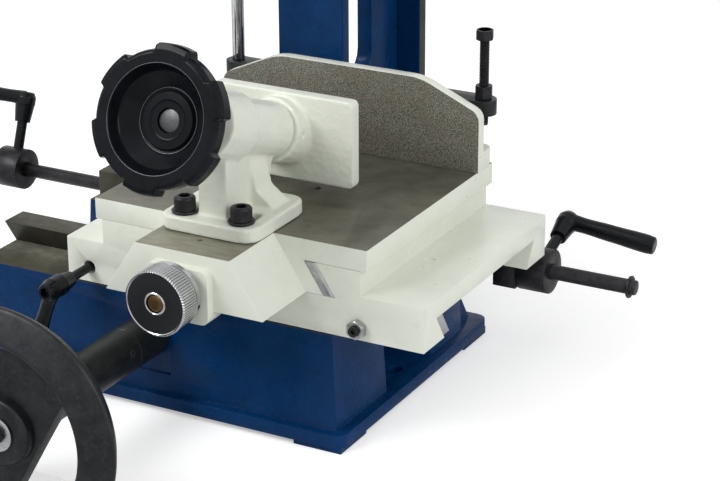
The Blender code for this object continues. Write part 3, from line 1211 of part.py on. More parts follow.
def trimmed(shape, point, normal):
    """Cut away what lies beyond a plane and close the cut."""
    everything = list(shape.verts) + list(shape.edges) + list(shape.faces)
    cut = bmesh.ops.bisect_plane(shape, geom=everything, plane_co=point, plane_no=normal, clear_outer=True)
    rim = [part for part in cut["geom_cut"] if isinstance(part, bmesh.types.BMEdge)]
    bmesh.ops.edgeloop_fill(shape, edges=rim)
    return closed(shape)


def vise_body(carrier):
    """Slotted foot, neck with side gussets, and the tilted barrel that the screw runs in."""
    floor = TABLE_TOP_Z + GAP
    foot_top = floor + VISE_FOOT_THICKNESS
    front = FRONT_Y - VISE_FOOT_FRONT
    half = VISE_FOOT_WIDTH / 2
    foot = prism("Z", rounded(rectangle(TABLE_X - half, front, TABLE_X + half, front + VISE_FOOT_DEPTH),
                              VISE_FOOT_CORNER), floor, foot_top)
    neck = [(front + NECK_FOOT_FRONT, foot_top - SINK), (front + NECK_FOOT_REAR, foot_top - SINK),
            on_vise_axis(NECK_TOP_REAR), on_vise_axis(NECK_TOP_FRONT)]
    neck_half = NECK_WIDTH / 2
    reach = neck_half + GUSSET_REACH
    knee = neck_half + GUSSET_REACH * GUSSET_KNEE_REACH_SHARE
    knee_z = foot_top + GUSSET_HEIGHT * GUSSET_KNEE_HEIGHT_SHARE
    gusset = [(TABLE_X - reach, foot_top - SINK), (TABLE_X + reach, foot_top - SINK),
              (TABLE_X + reach, foot_top), (TABLE_X + knee, knee_z),
              (TABLE_X + neck_half, foot_top + GUSSET_HEIGHT),
              (TABLE_X - neck_half, foot_top + GUSSET_HEIGHT), (TABLE_X - knee, knee_z),
              (TABLE_X - reach, foot_top)]
    barrel = placed(turned("Y", [(BARREL_COLLAR_START, BARREL_COLLAR_RADIUS),
                                 (BARREL_COLLAR_END, BARREL_COLLAR_RADIUS),
                                 (BARREL_COLLAR_END, BARREL_RADIUS), (BARREL_END - GAP, BARREL_RADIUS)]),
                    vise_frame())
    joins = [prism("X", neck, TABLE_X - neck_half, TABLE_X + neck_half),
             prism("Y", gusset, front + GUSSET_START, front + NECK_FOOT_REAR), barrel]
    cuts = [placed(rod("Y", VISE_SCREW_RADIUS + GAP, BARREL_COLLAR_START - OVERRUN, BARREL_END + OVERRUN),
                   vise_frame())]
    slot = M10_RADIUS + GAP
    for x, y in vise_bolt_places():
        outline = rectangle(x - slot, y - VISE_SLOT_SPARE - slot, x + slot, y + VISE_SLOT_TRAVEL + slot)
        cuts.append(prism("Z", rounded(outline, slot - GAP), floor - OVERRUN, foot_top + OVERRUN))
    piece("vise_body", cream_paint(), foot, joins, cuts, tuple(vise_origin()), carrier)


def vise_jaw(carrier):
    near = FRONT_Y + JAW_FACE_FROM_FRONT
    low = TABLE_TOP_Z + JAW_ABOVE_TABLE
    half = JAW_WIDTH / 2
    outline = rounded(rectangle(TABLE_X - half, low, TABLE_X + half, low + JAW_HEIGHT), JAW_CORNER)
    plate = prism("Y", outline, near, near + JAW_THICKNESS)
    reach = (JAW_FACE_FROM_FRONT + JAW_THICKNESS) / math.cos(VISE_TILT)
    reach += JAW_BOSS_RADIUS * math.tan(VISE_TILT)
    boss = placed(rod("Y", JAW_BOSS_RADIUS, BARREL_END, reach), vise_frame())
    boss = trimmed(boss, (TABLE_X, near + JAW_THICKNESS / 2, low), (0.0, 1.0, 0.0))
    bore = placed(rod("Y", VISE_SCREW_RADIUS + GAP, BARREL_END - OVERRUN, VISE_SCREW_END + GAP),
                  vise_frame())
    screw_at = (BARREL_END + VISE_SCREW_END) / 2 - GAP
    pocket = placed(rod("X", JAW_SCREW_HOLE, JAW_BOSS_RADIUS - SET_SCREW_DEPTH, JAW_BOSS_RADIUS + OVERRUN,
                        (screw_at, 0.0), SMALL_STEPS), vise_frame())
    piece("vise_jaw", cream_paint(), plate, [boss], [bore, pocket], tuple(vise_origin()), carrier)


def lobed_outline():
    """Rim of the vise handwheel: raised lobes with shallow recesses between them."""
    points = []
    for lobe in range(VISE_WHEEL_LOBES):
        start = math.tau * lobe / VISE_WHEEL_LOBES
        lobe_turn = math.tau / VISE_WHEEL_LOBES * VISE_LOBE_SHARE
        recess_turn = math.tau / VISE_WHEEL_LOBES - lobe_turn
        steps = [(VISE_WHEEL_RADIUS, start + lobe_turn * share) for share in LOBE_POINT_SHARES]
        steps += [(VISE_WHEEL_RADIUS - VISE_WHEEL_RECESS, start + lobe_turn + recess_turn * share)
                  for share in RECESS_POINT_SHARES]
        points += [(radius * math.cos(a), radius * math.sin(a)) for radius, a in steps]
    return points


def vise_wheel_and_screw(carrier):
    face = VISE_WHEEL_FACE
    rim_back = face + VISE_WHEEL_RIM
    floor = face + VISE_WHEEL_DISH_DEPTH
    rim = placed(prism("Y", lobed_outline(), face, rim_back), vise_frame())
    back = placed(turned("Y", [(rim_back - SINK, VISE_WHEEL_DISH_RADIUS + 2 * VISE_WHEEL_WALL),
                               (rim_back + VISE_WHEEL_WALL, VISE_WHEEL_DISH_RADIUS),
                               (floor + VISE_WHEEL_WALL, VISE_WHEEL_BOSS_RADIUS + VISE_WHEEL_WALL / 2),
                               (VISE_HUB_END, VISE_WHEEL_BOSS_RADIUS)]), vise_frame())
    dish = placed(turned("Y", [(face - OVERRUN, VISE_WHEEL_DISH_RADIUS), (face, VISE_WHEEL_DISH_RADIUS),
                               (face + VISE_WHEEL_LIP, VISE_WHEEL_DISH_RADIUS - VISE_WHEEL_LIP_DEPTH),
                               (floor, VISE_WHEEL_BOSS_RADIUS)]), vise_frame())
    bore = placed(rod("Y", VISE_SCREW_RADIUS + GAP, face - OVERRUN, VISE_HUB_END + OVERRUN),
                  vise_frame())
    place = tuple(vise_frame() @ Vector((0.0, VISE_HUB_END, 0.0)))
    body = carrier_empty("vise_screw_body", place, carrier)
    piece("vise_handwheel", black_plastic(), rim, [back], [dish, bore], place, body)
    screw = placed(rod("Y", VISE_SCREW_RADIUS, floor + VISE_SCREW_SET_BACK, VISE_SCREW_END), vise_frame())
    piece("vise_screw", bright_steel(), screw, origin=place, carrier=body)


def vise(table):
    for index, place in enumerate(vise_bolt_places()):
        seat = vise_seat_z()
        washer = tube("Z", M10_WASHER_RADIUS, M10_RADIUS + GAP, seat - GAP - WASHER_THICKNESS, seat - GAP,
                      place, SMALL_STEPS)
        piece(f"vise_washer_{index + 1}", dark_satin(), washer, origin=(*place, seat), carrier=table)
        cap_screw(f"vise_bolt_{index + 1}", "Z", place, seat, M10_SCREW, table)
    body = carrier_empty("vise_body_frame", tuple(vise_origin()), table)
    vise_body(body)
    jaw = carrier_empty("vise_jaw_body", tuple(vise_origin()), body)
    vise_jaw(jaw)
    vise_wheel_and_screw(jaw)


def right_collar_x():
    """Left face of the right collar, which the right stop block rests on."""
    return SADDLE_RIGHT_X - RIGHT_BLOCK_FROM_END + GAP


def left_collar_x():
    """Left face of the left collar."""
    block_left = SADDLE_LEFT_X + LEFT_BLOCK_FROM_END - SADDLE_TRAVEL
    return block_left - LEFT_COLLAR_REST_SPACE - COLLAR_LENGTH


def stop_lever(name, collar_middle, stud_turn, arm_turn, collar):
    """Clamping lever: a stud that screws into the collar, a hub and a tapering arm."""
    frame = (Matrix.Translation((collar_middle, ROD_Y, ROD_HEIGHT)) @ Matrix.Rotation(-stud_turn, 4, "X"))
    low = STOP_HUB_DISTANCE - STOP_HUB_LENGTH / 2
    high = STOP_HUB_DISTANCE + STOP_HUB_LENGTH / 2
    stud = placed(turned("Z", [(COLLAR_RADIUS - STOP_STUD_IN, STOP_STUD_RADIUS), (low, STOP_STUD_RADIUS),
                               (low, STOP_HUB_RADIUS), (high - STOP_STUD_RADIUS, STOP_HUB_RADIUS),
                               (high, STOP_HUB_RADIUS * HUB_END_SHARE)], steps=SMALL_STEPS), frame)
    arm = turned("X", arm_points(STOP_ARM, STOP_ARM_RADIUS, STOP_SWELL_SHARE), steps=SMALL_STEPS)
    turn = Matrix.Translation((0.0, 0.0, STOP_HUB_DISTANCE)) @ Matrix.Rotation(arm_turn, 4, "Z")
    arm = placed(arm, frame @ turn)
    place = tuple(frame @ Vector((0.0, 0.0, STOP_HUB_DISTANCE)))
    body = carrier_empty(f"{name}_body", place, collar)
    piece(name, black_plastic(), stud, [arm], origin=place, carrier=body)


def stop_collar(side, left, stud_turn, arm_turn):
    middle = left + COLLAR_LENGTH / 2
    body = carrier_empty(f"stop_collar_{side}_body", (middle, ROD_Y, ROD_HEIGHT))
    ring = tube("X", COLLAR_RADIUS, ROD_RADIUS + GAP, left, left + COLLAR_LENGTH, (ROD_Y, ROD_HEIGHT))
    frame = (Matrix.Translation((middle, ROD_Y, ROD_HEIGHT)) @ Matrix.Rotation(-stud_turn, 4, "X"))
    hole_floor = COLLAR_RADIUS - STOP_STUD_IN - GAP
    hole = placed(rod("Z", STOP_STUD_RADIUS + GAP, hole_floor, COLLAR_RADIUS + OVERRUN, steps=SMALL_STEPS),
                  frame)
    piece(f"stop_collar_{side}", black_oxide(), ring, cuts=[hole], origin=(middle, ROD_Y, ROD_HEIGHT),
          carrier=body)
    stop_lever(f"stop_lever_{side}", middle, stud_turn, arm_turn, body)


def travel_stops():
    """Rod behind the saddle with its end clips, two collars and their levers."""
    left = left_collar_x() - ROD_LEFT_SPARE
    right = right_collar_x() + COLLAR_LENGTH + RIGHT_COLLAR_TRAVEL + CLIP_THICKNESS + CLIP_FROM_END
    axis = (ROD_Y, ROD_HEIGHT)
    piece("stop_rod", bright_steel(), rod("X", ROD_RADIUS, left, right, axis, SMALL_STEPS))
    for side, start in (("left", left + CLIP_FROM_END), ("right", right - CLIP_FROM_END - CLIP_THICKNESS)):
        clip = tube("X", CLIP_RADIUS, ROD_RADIUS + GAP, start, start + CLIP_THICKNESS, axis, SMALL_STEPS)
        piece(f"stop_rod_clip_{side}", black_oxide(), clip)
    stop_collar("right", right_collar_x(), RIGHT_STUD_TURN, RIGHT_ARM_TURN)
    stop_collar("left", left_collar_x(), LEFT_STUD_TURN, LEFT_ARM_TURN)


def arm_y():
    return (ARM_FRONT_Y + ARM_REAR_Y) / 2


def spring_bottom_z():
    return ARM_TOP_Z + HEAD_TRAVEL + SPRING_CLEARANCE


def spring_top_z():
    return spring_bottom_z() + SPRING_ROD_IN_CYLINDER + HEAD_TRAVEL + SPRING_CLEARANCE + SPRING_END_WALL


def depth_stop():
    """Arm across the front of the column: the stop bolt in one end, the spring's rod in the other."""
    y = arm_y()
    bar = block((SPRING_X, ARM_FRONT_Y, ARM_BOTTOM), (STOP_BOLT_X, ARM_REAR_Y, ARM_TOP_Z))
    ends = [rod("Z", ARM_END_RADIUS, ARM_BOTTOM, ARM_TOP_Z, (x, y)) for x in (SPRING_X, STOP_BOLT_X)]
    cuts = [rod("Z", STOP_BOLT_RADIUS + GAP, ARM_BOTTOM - OVERRUN, ARM_TOP_Z + OVERRUN, (STOP_BOLT_X, y),
                SMALL_STEPS),
            rod("Z", SPRING_ROD_RADIUS + GAP, ARM_TOP_Z - SPRING_ROD_IN_ARM - GAP, ARM_TOP_Z + OVERRUN,
                (SPRING_X, y), SMALL_STEPS)]
    piece("depth_stop_arm", dark_satin(), bar, ends, cuts)
    under_head = STOP_BOLT_TOP - STOP_BOLT_HEAD
    head = prism("Z", hexagon(STOP_BOLT_FLATS, (STOP_BOLT_X, y)), under_head, STOP_BOLT_TOP)
    shank = rod("Z", STOP_BOLT_RADIUS, STOP_BOLT_TOP - STOP_BOLT_LENGTH, under_head + SINK, (STOP_BOLT_X, y),
                SMALL_STEPS)
    piece("depth_stop_bolt", black_oxide(), head, [shank], origin=(STOP_BOLT_X, y, under_head))
    nut_z = ARM_TOP_Z + GAP
    nut = prism("Z", hexagon(STOP_BOLT_FLATS, (STOP_BOLT_X, y)), nut_z, nut_z + STOP_NUT_THICKNESS)
    bore = rod("Z", STOP_BOLT_RADIUS + GAP, nut_z - OVERRUN, nut_z + STOP_NUT_THICKNESS + OVERRUN,
               (STOP_BOLT_X, y), SMALL_STEPS)
    piece("depth_stop_nut", black_oxide(), nut, cuts=[bore])
    spring_rod = rod("Z", SPRING_ROD_RADIUS, ARM_TOP_Z - SPRING_ROD_IN_ARM,
                     spring_bottom_z() + SPRING_ROD_IN_CYLINDER, (SPRING_X, y), SMALL_STEPS)
    piece("gas_spring_rod", bright_steel(), spring_rod)


def cavity():
    """Low and high corners of the room round the chuck."""
    half = HEAD_WIDTH / 2 - HOUSING_WALL
    return ((-half, CHISEL_Y - HOUSING_FRONT_REACH, HOUSING_BOTTOM + HOUSING_WALL),
            (half, CHISEL_Y + HOUSING_REAR_REACH, HEAD_TOP - MOTOR_PLATE_THICKNESS))


def head_casting(carrier):
    """Slide block on the column's front flange, chuck housing, nose, motor plate, feed housing and ears."""
    half = HEAD_WIDTH / 2
    face = COLUMN_FRONT_Y - GAP
    cheek = COLUMN_WIDTH / 2 + GAP
    cheek_rear = COLUMN_FRONT_Y + FRONT_FLANGE
    pocket = TOOTH_MODULE * FEED_PINION_TEETH / 2 + PINION_ADDENDUM + POCKET_CLEARANCE
    front = FEED_SHAFT_Y - pocket - POCKET_WALL
    section = [(-half, front), (half, front), (half, cheek_rear), (cheek, cheek_rear), (cheek, face),
               (-cheek, face), (-cheek, cheek_rear), (-half, cheek_rear)]
    housing_front = CHISEL_Y - HOUSING_FRONT_REACH
    axis = (FEED_SHAFT_Y, FEED_SHAFT_HEIGHT)
    web_rear = FEED_SHAFT_Y + FEED_HOUSING_RADIUS + SINK
    web = [(half - SINK, EAR_BOTTOM), (STOP_BOLT_X, EAR_BOTTOM), (STOP_BOLT_X, EAR_BOTTOM + EAR_THICKNESS),
           (FEED_HOUSING_RIGHT - SINK, FEED_SHAFT_HEIGHT), (half - SINK, FEED_SHAFT_HEIGHT)]
    spring_ear_z = spring_top_z() + GAP
    joins = [
        block((-half, housing_front, HOUSING_BOTTOM), (half, front + SINK, HEAD_TOP)),
        rod("Z", NOSE_RADIUS, HEAD_BOTTOM, HOUSING_BOTTOM + SINK, (0.0, CHISEL_Y)),
        block((-NOSE_RIB / 2, CHISEL_Y + NOSE_RADIUS - SINK, NOSE_RIB_BOTTOM),
              (NOSE_RIB / 2, front + SINK, HOUSING_BOTTOM + SINK)),
        rod("Z", MOTOR_FOOT_RADIUS + MOTOR_PLATE_BRIM, HEAD_TOP - MOTOR_PLATE_THICKNESS, HEAD_TOP,
            (0.0, CHISEL_Y)),
        rod("X", FEED_HOUSING_RADIUS, half - SINK, FEED_HOUSING_RIGHT, axis),
        prism("Y", web, web_rear - EAR_WEB, web_rear),
        rod("Z", ARM_END_RADIUS, EAR_BOTTOM, EAR_BOTTOM + EAR_THICKNESS, (STOP_BOLT_X, arm_y()),
            SMALL_STEPS),
        block((SPRING_X - SPRING_CYLINDER_RADIUS, arm_y() - SPRING_CYLINDER_RADIUS, spring_ear_z),
              (SINK - half, arm_y() + SPRING_CYLINDER_RADIUS, spring_ear_z + SPRING_EAR_THICKNESS))]
    slot = FEED_RACK_WIDTH / 2 + POCKET_CLEARANCE
    slot_front = COLUMN_FRONT_Y - FEED_RACK_PITCH_LINE - RACK_ADDENDUM - POCKET_CLEARANCE
    low, high = cavity()
    cuts = [
        block((-slot, slot_front, HEAD_BOTTOM - OVERRUN), (slot, COLUMN_FRONT_Y, HEAD_TOP + OVERRUN)),
        rod("X", pocket, -slot, slot, axis),
        rod("X", FEED_SHAFT_RADIUS + GAP, -FEED_SHAFT_LEFT - GAP, FEED_HOUSING_RIGHT + OVERRUN, axis),
        block((low[0], low[1] - OVERRUN, low[2]), high),
        rod("Z", BUSHING_RADIUS + GAP, HEAD_BOTTOM - OVERRUN, low[2] + OVERRUN, (0.0, CHISEL_Y)),
        rod("Z", SPINDLE_RADIUS + GAP, high[2] - OVERRUN, HEAD_TOP + OVERRUN, (0.0, CHISEL_Y))]
    piece("head_casting", blue_paint(), prism("Z", section, HEAD_BOTTOM, HEAD_TOP), joins, cuts,
          (0.0, COLUMN_FRONT_Y, HEAD_BOTTOM), carrier)
    inner = COLUMN_WEB / 2 + WEB_CLEARANCE
    keeper_front = cheek_rear + GAP
    for side, left, right in (("left", -half, -inner), ("right", inner, half)):
        keeper = block((left, keeper_front, HEAD_BOTTOM), (right, keeper_front + KEEPER_THICKNESS, HEAD_TOP))
        piece(f"head_keeper_{side}", dark_satin(), keeper, carrier=carrier)
    cylinder_bore = SPRING_ROD_RADIUS + GAP
    roof = spring_top_z() - SPRING_END_WALL
    mouth = spring_bottom_z()
    cylinder = turned("Z", [(roof, 0.0), (roof, cylinder_bore), (mouth, cylinder_bore),
                            (mouth, SPRING_CYLINDER_RADIUS), (spring_top_z(), SPRING_CYLINDER_RADIUS)],
                      (SPRING_X, arm_y()), SMALL_STEPS)
    piece("gas_spring_cylinder", black_oxide(), cylinder, carrier=carrier)


def motor_and_switch(carrier):
    floor = HEAD_TOP + GAP
    axis = (0.0, CHISEL_Y)
    top = floor + MOTOR_HEIGHT
    profile = [(floor, MOTOR_FOOT_RADIUS), (floor + MOTOR_FOOT_HEIGHT, MOTOR_FOOT_RADIUS),
               (floor + MOTOR_FOOT_HEIGHT, MOTOR_RADIUS), (top - MOTOR_CAP_HEIGHT, MOTOR_RADIUS),
               (top - MOTOR_CAP_HEIGHT * MOTOR_CAP_SHOULDER_SHARE, MOTOR_CAP_RADIUS),
               (top, MOTOR_CAP_RADIUS * MOTOR_CAP_TOP_SHARE)]
    bore = rod("Z", SPINDLE_RADIUS + GAP, floor - OVERRUN, HEAD_TOP + SPINDLE_IN_MOTOR + GAP, axis)
    piece("motor", dark_satin(), turned("Z", profile, axis), cuts=[bore], carrier=carrier)
    left = HEAD_WIDTH / 2 + GAP
    right = left + SWITCH_BOX_THICKNESS
    bottom = SWITCH_BOX_TOP - SWITCH_BOX_HEIGHT
    front = SWITCH_BOX_REAR - SWITCH_BOX_DEPTH
    box = block((left, front, bottom), (right, SWITCH_BOX_REAR, SWITCH_BOX_TOP))
    middle = ((left + right) / 2, (front + SWITCH_BOX_REAR) / 2)
    gland = rod("Z", GLAND_RADIUS, bottom - GLAND_LENGTH, bottom + SINK, middle, SMALL_STEPS)
    mouth = rod("Z", GLAND_BORE, bottom - GLAND_LENGTH - OVERRUN, bottom + SINK, middle, SMALL_STEPS)
    axis = (middle[1], (bottom + SWITCH_BOX_TOP) / 2)
    pocket = rod("X", SWITCH_BUTTON_RADIUS + GAP, right - SWITCH_POCKET_DEPTH, right + OVERRUN, axis)
    piece("switch_box", black_plastic(), box, [gland], [mouth, pocket], carrier=carrier)
    start = right - SWITCH_POCKET_DEPTH + SWITCH_BUTTON_TRAVEL + GAP
    place = spot("X", *axis, start)
    body = carrier_empty("switch_button_body", place, carrier)
    button = rod("X", SWITCH_BUTTON_RADIUS, start, right + SWITCH_BUTTON_PROUD, axis, SMALL_STEPS)
    piece("switch_button", red_plastic(), button, origin=place, carrier=body)


def chuck_and_chisel(carrier):
    axis = (0.0, CHISEL_Y)
    low, high = cavity()
    bushing_low = HEAD_BOTTOM - BUSHING_PROUD
    bushing = tube("Z", BUSHING_RADIUS, CHISEL_SHANK_RADIUS + GAP, bushing_low, low[2], axis)
    piece("chisel_bushing", bright_steel(), bushing, carrier=carrier)
    half = CHISEL_WIDTH / 2
    blade = block((-half, CHISEL_Y - half, CHISEL_TIP), (half, CHISEL_Y + half, CHISEL_SHOULDER))
    shank = rod("Z", CHISEL_SHANK_RADIUS, CHISEL_SHOULDER - SINK, low[2], axis, FINE_STEPS)
    slot = CHISEL_WINDOW_WIDTH / 2
    window_low = CHISEL_TIP + CHISEL_WINDOW_START
    cuts = [rod("Z", CHISEL_BORE, CHISEL_TIP - OVERRUN, low[2] + OVERRUN, axis),
            block((-slot, CHISEL_Y - half - OVERRUN, window_low),
                  (slot, CHISEL_Y, window_low + CHISEL_WINDOW_LENGTH))]
    piece("hollow_chisel", bright_steel(), blade, [shank], cuts, carrier=carrier)
    chuck_low = low[2] + CHUCK_ABOVE_FLOOR
    chuck_high = chuck_low + CHUCK_LENGTH
    place = (0.0, CHISEL_Y, chuck_low)
    body = carrier_empty("spindle_body", place, carrier)
    spindle = turned("Z", [(chuck_low, CHUCK_RADIUS * CHUCK_NOSE_SHARE),
                           (chuck_low + CHUCK_LENGTH * CHUCK_NOSE_LENGTH_SHARE, CHUCK_RADIUS),
                           (chuck_high, CHUCK_RADIUS), (chuck_high, SPINDLE_RADIUS),
                           (HEAD_TOP + SPINDLE_IN_MOTOR, SPINDLE_RADIUS)], axis)
    bore = rod("Z", AUGER_RADIUS + GAP, chuck_low - OVERRUN, chuck_low + AUGER_IN_CHUCK + GAP, axis,
               SMALL_STEPS)
    piece("chuck_spindle", bright_steel(), spindle, cuts=[bore], origin=place, carrier=body)
    tip = CHISEL_TIP - AUGER_PROUD
    auger = turned("Z", [(tip, 0.0), (tip + AUGER_POINT, AUGER_RADIUS),
                         (chuck_low + AUGER_IN_CHUCK, AUGER_RADIUS)], axis, SMALL_STEPS)
    piece("auger_bit", bright_steel(), auger, origin=place, carrier=body)
    door_half = high[0] + DOOR_OVERLAP
    back = low[1] - GAP
    pin = (-door_half, back - DOOR_PIN_RADIUS)
    door_low = low[2] - DOOR_OVERLAP
    door_high = high[2] - 2 * GAP
    place = (*pin, door_low)
    body = carrier_empty("chuck_door_body", place, carrier)
    plate = block((-door_half, back - DOOR_THICKNESS, door_low), (door_half, back, door_high))
    hinge_pin = rod("Z", DOOR_PIN_RADIUS, door_low, door_high, pin, SMALL_STEPS)
    piece("chuck_door", black_plastic(), plate, [hinge_pin], origin=place, carrier=body)


def ball_profile(reach, radius, rod_radius):
    """Radial profile of a handle arm that ends in a ball."""
    start = math.asin(rod_radius / radius)
    points = [(0.0, rod_radius)]
    for step in range(CORNER_STEPS + 2):
        angle = start + (math.pi - start) * step / (CORNER_STEPS + 1)
        last = step == CORNER_STEPS + 1
        points.append((reach - radius * math.cos(angle), 0.0 if last else radius * math.sin(angle)))
    return points


def feed(carrier):
    """Rack on the column, pinion shaft in the head and the three-armed handle on its right end."""
    axis = (FEED_SHAFT_Y, FEED_SHAFT_HEIGHT)
    pitch_line = COLUMN_FRONT_Y - FEED_RACK_PITCH_LINE
    teeth = rack_outline(FEED_SHAFT_HEIGHT - HEAD_TRAVEL - FEED_RACK_END, FEED_SHAFT_HEIGHT + FEED_RACK_END,
                         COLUMN_FRONT_Y - GAP, pitch_line, -1, FEED_SHAFT_HEIGHT)
    rack = [(across, along) for along, across in teeth]
    half = FEED_RACK_WIDTH / 2
    piece("feed_rack", bright_steel(), prism("X", rack, -half, half))
    hub_left = FEED_HOUSING_RIGHT + GAP
    hub_right = hub_left + HANDLE_HUB_LENGTH
    place = spot("X", *axis, hub_left)
    body = carrier_empty("feed_body", place, carrier)
    pinion = prism("X", pinion_outline(FEED_PINION_TEETH, axis, 0.0), -half, half)
    shaft = rod("X", FEED_SHAFT_RADIUS, -FEED_SHAFT_LEFT, hub_right, axis)
    piece("feed_shaft", bright_steel(), shaft, [pinion], origin=place, carrier=body)
    middle = (hub_left + hub_right) / 2
    hub = tube("X", HANDLE_HUB_RADIUS, FEED_SHAFT_RADIUS + GAP, hub_left, hub_right, axis)
    arms = []
    for arm in range(HANDLE_ARMS):
        turn = HANDLE_TURN + math.tau * arm / HANDLE_ARMS
        frame = Matrix.Translation((middle, *axis)) @ Matrix.Rotation(turn, 4, "X")
        start = FEED_SHAFT_RADIUS + SINK
        profile = [(max(along, start), radius) for along, radius in
                   ball_profile(HANDLE_REACH, HANDLE_BALL_RADIUS, HANDLE_ROD_RADIUS)]
        arms.append(placed(turned("Z", profile, steps=SMALL_STEPS), frame))
    piece("feed_handle", black_oxide(), hub, arms, origin=place, carrier=body)


def cross_table():
    saddle = carrier_empty("saddle_body", (SADDLE_X, FRONT_Y, SLAB_BOTTOM_Z))
    saddle_casting(saddle)
    saddle_pieces(saddle)
    x_lock_lever(saddle)
    table = carrier_empty("table_body", (TABLE_X, FRONT_Y, PLATE_BOTTOM_Z), saddle)
    table_casting(table)
    y_screw_and_knob(table)
    fence(table)
    vise(table)


def head():
    body = carrier_empty("head_body", (0.0, COLUMN_FRONT_Y, HEAD_BOTTOM))
    head_casting(body)
    motor_and_switch(body)
    chuck_and_chisel(body)
    feed(body)


def main():
    clear_scene()
    base_casting()
    column_casting()
    x_drive()
    cross_table()
    travel_stops()
    depth_stop()
    head()


if __name__ == "__main__":
    main()
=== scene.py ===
"""Looks of a benchtop mortiser: finishes for the cast and machined pieces, and finely turned and moulded
wheels, levers, knob, screws, motor and castings in place of the plain solids.

Lengths are in metres, in the machine's own frame: +Z up, the operator at -Y, +X to the operator's right.
"""

import json
import math

import bmesh
import bpy
import numpy as np
from bpy.props import FloatProperty, FloatVectorProperty, IntProperty, PointerProperty
from bpy.types import Operator, Panel, PropertyGroup
from mathutils import Matrix, Vector


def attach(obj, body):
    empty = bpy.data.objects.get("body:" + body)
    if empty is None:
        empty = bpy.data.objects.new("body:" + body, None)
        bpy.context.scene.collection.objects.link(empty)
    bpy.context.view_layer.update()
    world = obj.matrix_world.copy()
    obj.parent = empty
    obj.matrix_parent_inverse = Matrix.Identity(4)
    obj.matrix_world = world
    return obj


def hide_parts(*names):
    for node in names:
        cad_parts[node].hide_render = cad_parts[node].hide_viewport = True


bl_info = {
    "name": "Benchtop mortiser looks",
    "version": (1, 0, 0),
    "blender": (4, 5, 0),
    "location": "View3D > Sidebar > Mortiser",
    "description": "Finishes and fine shapes for a benchtop mortiser",
    "category": "Object",
}

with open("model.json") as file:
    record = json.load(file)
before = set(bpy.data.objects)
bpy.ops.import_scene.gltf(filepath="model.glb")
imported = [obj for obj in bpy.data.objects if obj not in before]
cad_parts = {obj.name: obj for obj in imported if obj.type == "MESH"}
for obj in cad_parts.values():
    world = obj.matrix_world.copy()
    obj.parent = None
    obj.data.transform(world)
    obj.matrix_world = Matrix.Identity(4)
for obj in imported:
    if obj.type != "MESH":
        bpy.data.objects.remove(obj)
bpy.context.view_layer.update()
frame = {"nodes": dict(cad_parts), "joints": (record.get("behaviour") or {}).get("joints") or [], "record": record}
JOINTS = {joint["name"]: joint for joint in frame["joints"]}
BODY_OF = {node: body for body, nodes in frame["record"]["behaviour"]["bodies"].items() for node in nodes}
SLOT_OF = {part["node"]: part["material_slot"] for part in frame["record"]["subparts"]}


# Sizes and colours that a user would change

class MortiserColours(PropertyGroup):
    blue: FloatVectorProperty(name="Blue enamel", description="Hammered enamel of base, column and head",
                              subtype="COLOR", size=3, min=0, max=1, default=(0.0014, 0.030, 0.108))
    cream: FloatVectorProperty(name="Cream enamel", description="Enamel of saddle, table, fence and vise",
                               subtype="COLOR", size=3, min=0, max=1, default=(0.79, 0.815, 0.72))
    ground: FloatVectorProperty(name="Ground iron", description="Bare ground faces of the castings",
                                subtype="COLOR", size=3, min=0, max=1, default=(0.238, 0.232, 0.172))
    steel: FloatVectorProperty(name="Bright steel", description="Ground and turned steel",
                               subtype="COLOR", size=3, min=0, max=1, default=(0.50, 0.51, 0.52))
    chrome: FloatVectorProperty(name="Chrome", description="Polished plating of knob and spring rod",
                                subtype="COLOR", size=3, min=0, max=1, default=(0.68, 0.69, 0.71))
    oxide: FloatVectorProperty(name="Black oxide", description="Oxide finish of screws, collars and stops",
                               subtype="COLOR", size=3, min=0, max=1, default=(0.030, 0.030, 0.033))
    satin: FloatVectorProperty(name="Dark satin", description="Large handwheel, sleeve and stop arm",
                               subtype="COLOR", size=3, min=0, max=1, default=(0.025, 0.0275, 0.029))
    plastic: FloatVectorProperty(name="Black plastic", description="Vise handwheel and clamping levers",
                                 subtype="COLOR", size=3, min=0, max=1, default=(0.0050, 0.0062, 0.0082))
    brass: FloatVectorProperty(name="Brass", description="Leadscrew and its nut",
                               subtype="COLOR", size=3, min=0, max=1, default=(0.30, 0.17, 0.08))
    button: FloatVectorProperty(name="Button", description="Switch button",
                                subtype="COLOR", size=3, min=0, max=1, default=(0.45, 0.02, 0.015))


class MortiserSizes(PropertyGroup):
    casting_edge: FloatProperty(name="Casting edge", description="Rounding of cast edges",
                                default=0.0012, min=0, unit="LENGTH", precision=4)
    machined_edge: FloatProperty(name="Machined edge", description="Rounding of machined edges",
                                 default=0.0004, min=0, unit="LENGTH", precision=4)
    vise_lobes: IntProperty(name="Vise wheel lobes", description="Raised lobes of the vise handwheel",
                            default=6, min=3)
    knurl_ridges: IntProperty(name="Knurl ridges", description="Ridges of the table knob's straight knurl",
                              default=76, min=12)
    motor_fins: IntProperty(name="Motor fins", description="Cooling fins round the motor", default=44, min=8)
    thread_pitch: FloatProperty(name="Stop bolt pitch", description="Pitch of the depth stop bolt's thread",
                                default=0.00125, min=0.0005, unit="LENGTH", precision=5)
    casting_grain: FloatProperty(name="Casting grain", description="Voxel of the vise's rough casting",
                                 default=0.0011, min=0.0005, unit="LENGTH", precision=4)


